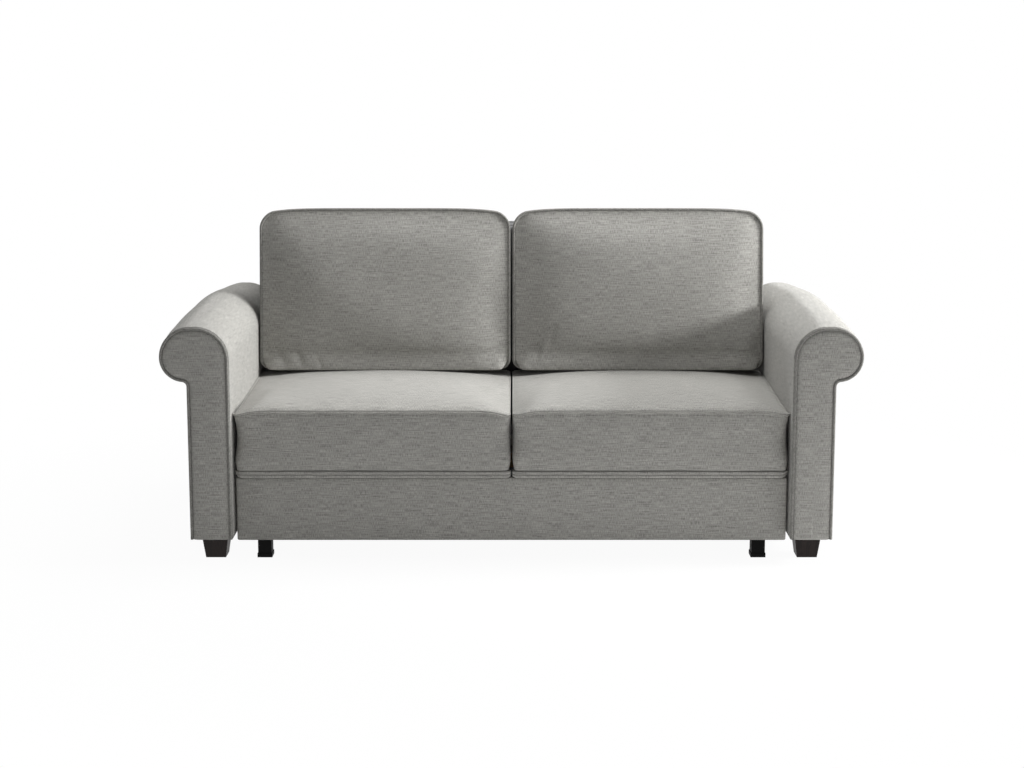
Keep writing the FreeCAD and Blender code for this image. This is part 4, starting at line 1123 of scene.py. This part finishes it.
restCreases = {
    "left": [((0.795, 0.36), (0.72, 0.33), 0.009, 0.0022),
             ((0.795, 0.30), (0.74, 0.285), 0.008, 0.0016), ((0.80, 0.425), (0.74, 0.43), 0.008, 0.0016),
             ((0.72, 0.02), (0.76, 0.075), 0.010, 0.0035), ((0.66, 0.015), (0.70, 0.07), 0.010, 0.0028),
             ((0.60, 0.012), (0.63, 0.05), 0.009, 0.0020), ((0.775, 0.03), (0.79, 0.10), 0.008, 0.0022),
             ((0.03, 0.09), (0.075, 0.035), 0.008, 0.0030), ((0.02, 0.13), (0.06, 0.11), 0.008, 0.0018)],
    "right": [((0.12, 0.05), (0.145, 0.15), 0.010, 0.0028), ((0.08, 0.02), (0.10, 0.09), 0.008, 0.0022),
              ((0.03, 0.05), (0.05, 0.11), 0.008, 0.0018), ((0.79, 0.10), (0.72, 0.085), 0.009, 0.0016),
              ((0.78, 0.03), (0.73, 0.05), 0.009, 0.0020), ((0.02, 0.36), (0.07, 0.34), 0.009, 0.0015)],
}


# shape and folds of the back cushion: fitted to its width and height, domed, with a fuller
# belly that hangs over its foot; creases by the corners and sides, small gathers along the
# piping, and the whole face a little uneven
def shapeRest(made, side, sign, seed):
    mesh = made.data
    points, normals = coordinates(mesh), vertexNormals(mesh)
    across, up, out = fromRest(points)
    across = across * sign
    face = fall(normals[:, 1], -0.6, -0.2)
    toEdge = toRestEdge(across, up)
    waves = unevenness(across * 0.9, up * 1.1, seed) * rest["waves"] * face * ease(toEdge, 0.01, 0.08)
    gathers = np.sin((across + up) * 210 + 3 * np.sin(across * 23) + 3 * np.sin(up * 31))
    gathers *= rest["gathers"] * face * bump(toEdge - rest["gatherPlace"], rest["gatherReach"])
    sink = creaseDepth(across, up, restCreases[side]) * face * rest["creaseShare"]
    inner, outer = rest["gap"] + rest["inset"], rest["outer"] - rest["inset"]
    low, high = across.min(), across.max()
    across = inner + (across - low) * (outer - inner) / (high - low)
    up = up * (rest["length"] - rest["inset"]) / up.max()
    toSide = np.minimum(across - rest["gap"], rest["outer"] - across)
    belly = ease(out, -0.014, 0.004) * fall(up, 0.006, 0.06) * ease(toSide, 0.002, 0.04)
    sideways = 2 * (across - rest["gap"]) / (rest["outer"] - rest["gap"]) - 1
    height = 2 * up / rest["length"] - 1
    dome = np.clip(1 - sideways**2, 0, 1) * np.clip(1 - height**2, 0, 1) ** 0.7 * ease(out, 0.0, 0.02)
    out = out + rest["belly"] * belly + rest["dome"] * dome
    up = up - rest["bellyDrop"] * belly
    points = toRest(across * sign, cornersDown(across, up), out)
    points += normals * (waves + gathers - sink)[:, None]
    points[:, 2] = np.maximum(points[:, 2], rest["base"])
    movePoints(mesh, points)


# piping: a cord round the cushion's front seam, tucked back a little along its foot
def restPiping(side, sign):
    radius, below, above = rest["piping"], rest["bottomCorner"], rest["topCorner"]
    across, up = roundedPath((rest["gap"] + radius, rest["outer"] - radius),
                             (radius, rest["length"] - radius), (below, below, above, above)).T
    tucked = -rest["pipingTuck"] * fall(up, 0.006, 0.03)
    path = toRest(sign * across, cornersDown(across, up), tucked)[::sign]
    made = cordMesh(f"{side}BackCushionPiping", path, radius, (0, leanCosine, -leanSine), True)
    node = f"{side}_back_cushion_piping"
    return finishPiece(made, f"{side}_back_cushion", node, slotName="grey_piping")


for (side, sign), made in cushionPair("BackCushion", "back_cushion", restPins, rest):
    shapeRest(made, side, sign, 61 if sign < 0 else 83)
    node = f"{side}_back_cushion"
    finishPiece(made, node, node, fill=0.8, turn=math.radians(-rest["lean"]))
    restPiping(side, sign)
print("back cushions made")

# Stage
stage = {
    "floorTone": 0.9,
    "floorReach": 40.0,
    "shadowShare": 0.05,
    "shadowReach": 1.3,
    "worldLight": 0.252,
    "lampTarget": (0.0, -0.1, 0.5),
    "keyLamp": ((4.2, -0.3, 1.8), 0.6, 228.0),
    "topLamp": ((0.3, 0.45, 3.0), 1.5, 60.0),
    "rightLamp": ((2.5, -0.6, 3.2), 1.0, 26.0),
    "lens": 61.17,
    "cameraY": -5.438,
    "cameraZ": 1.495,
    "pitch": 8.627,
    "shiftX": 0.0005,
    "shiftY": -0.0703,
}


# share that is 1 for rays that should see the plain white background
def seenShare(graph):
    path = graph.tree.nodes.new("ShaderNodeLightPath")
    camera, glossy, through = (Wire(graph, path.outputs[name]) for name in
                               ("Is Camera Ray", "Is Glossy Ray", "Is Transmission Ray"))
    return (camera + glossy + through).clamped()


# floor: white where it is seen, apart from a faint shadow round the sofa, and pale to the light
def makeFloor():
    mesh = bpy.data.meshes.new("floor")
    reach = stage["floorReach"]
    corners = [(-reach, -reach, 0), (reach, -reach, 0), (reach, reach, 0), (-reach, reach, 0)]
    mesh.from_pydata(corners, [], [(0, 1, 2, 3)])
    floor = placed("floor", mesh)
    finish = Finish("paleFloor", Roughness=1.0, Specular_IOR_Level=0.0)
    finish.colour((stage["floorTone"],) * 3 + (1,))
    x, y, _ = finish.split(finish.objectPlace())
    away = (x * x + y * y) ** 0.5 / stage["shadowReach"]
    shadow = (1.6 - away).clamped() * stage["shadowShare"]
    glow = finish.node("ShaderNodeEmission", {}, {"Color": (1, 1, 1, 1)})
    pale = Wire(finish, finish.shader.outputs[0])
    seen = seenShare(finish) * (1 - shadow)
    mixed = finish.node("ShaderNodeMixShader", {}, {0: seen, 1: pale, 2: glow})
    finish.feed(finish.tree.nodes["Material Output"].inputs[0], mixed)
    mesh.materials.append(finish.material)


# world: white where it is seen, and dimmer as a light
def makeWorld():
    world = bpy.data.worlds.new("studio")
    scene.world = world
    world.use_nodes = True
    graph = Graph(world.node_tree)
    background = graph.tree.nodes["Background"]
    background.inputs["Color"].default_value = (1, 1, 1, 1)
    dim = stage["worldLight"]
    graph.feed(background.inputs["Strength"], seenShare(graph) * (1 - dim) + dim)


# lamp: a square light at a place, turned to the lamp target
def makeLamp(name, place, size, power):
    lamp = bpy.data.lights.new(name, "AREA")
    lamp.size = size
    lamp.energy = power
    holder = placed(name, lamp)
    holder.location = place
    way = np.array(stage["lampTarget"]) - np.array(place)
    flat = math.hypot(way[0], way[1])
    holder.rotation_euler = (math.atan2(flat, -way[2]), 0, math.atan2(-way[0], way[1]))


def makeCamera():
    data = bpy.data.cameras.new("camera")
    data.lens = stage["lens"]
    data.shift_x = stage["shiftX"]
    data.shift_y = stage["shiftY"]
    camera = placed("camera", data)
    camera.location = (0.0, stage["cameraY"], stage["cameraZ"])
    camera.rotation_euler = (math.radians(90 - stage["pitch"]), 0, 0)
    scene.camera = camera


makeFloor()
makeWorld()
for lampName in ("keyLamp", "topLamp", "rightLamp"):
    makeLamp(lampName, *stage[lampName])
makeCamera()
scene.view_settings.view_transform = "Standard"
print("stage set")
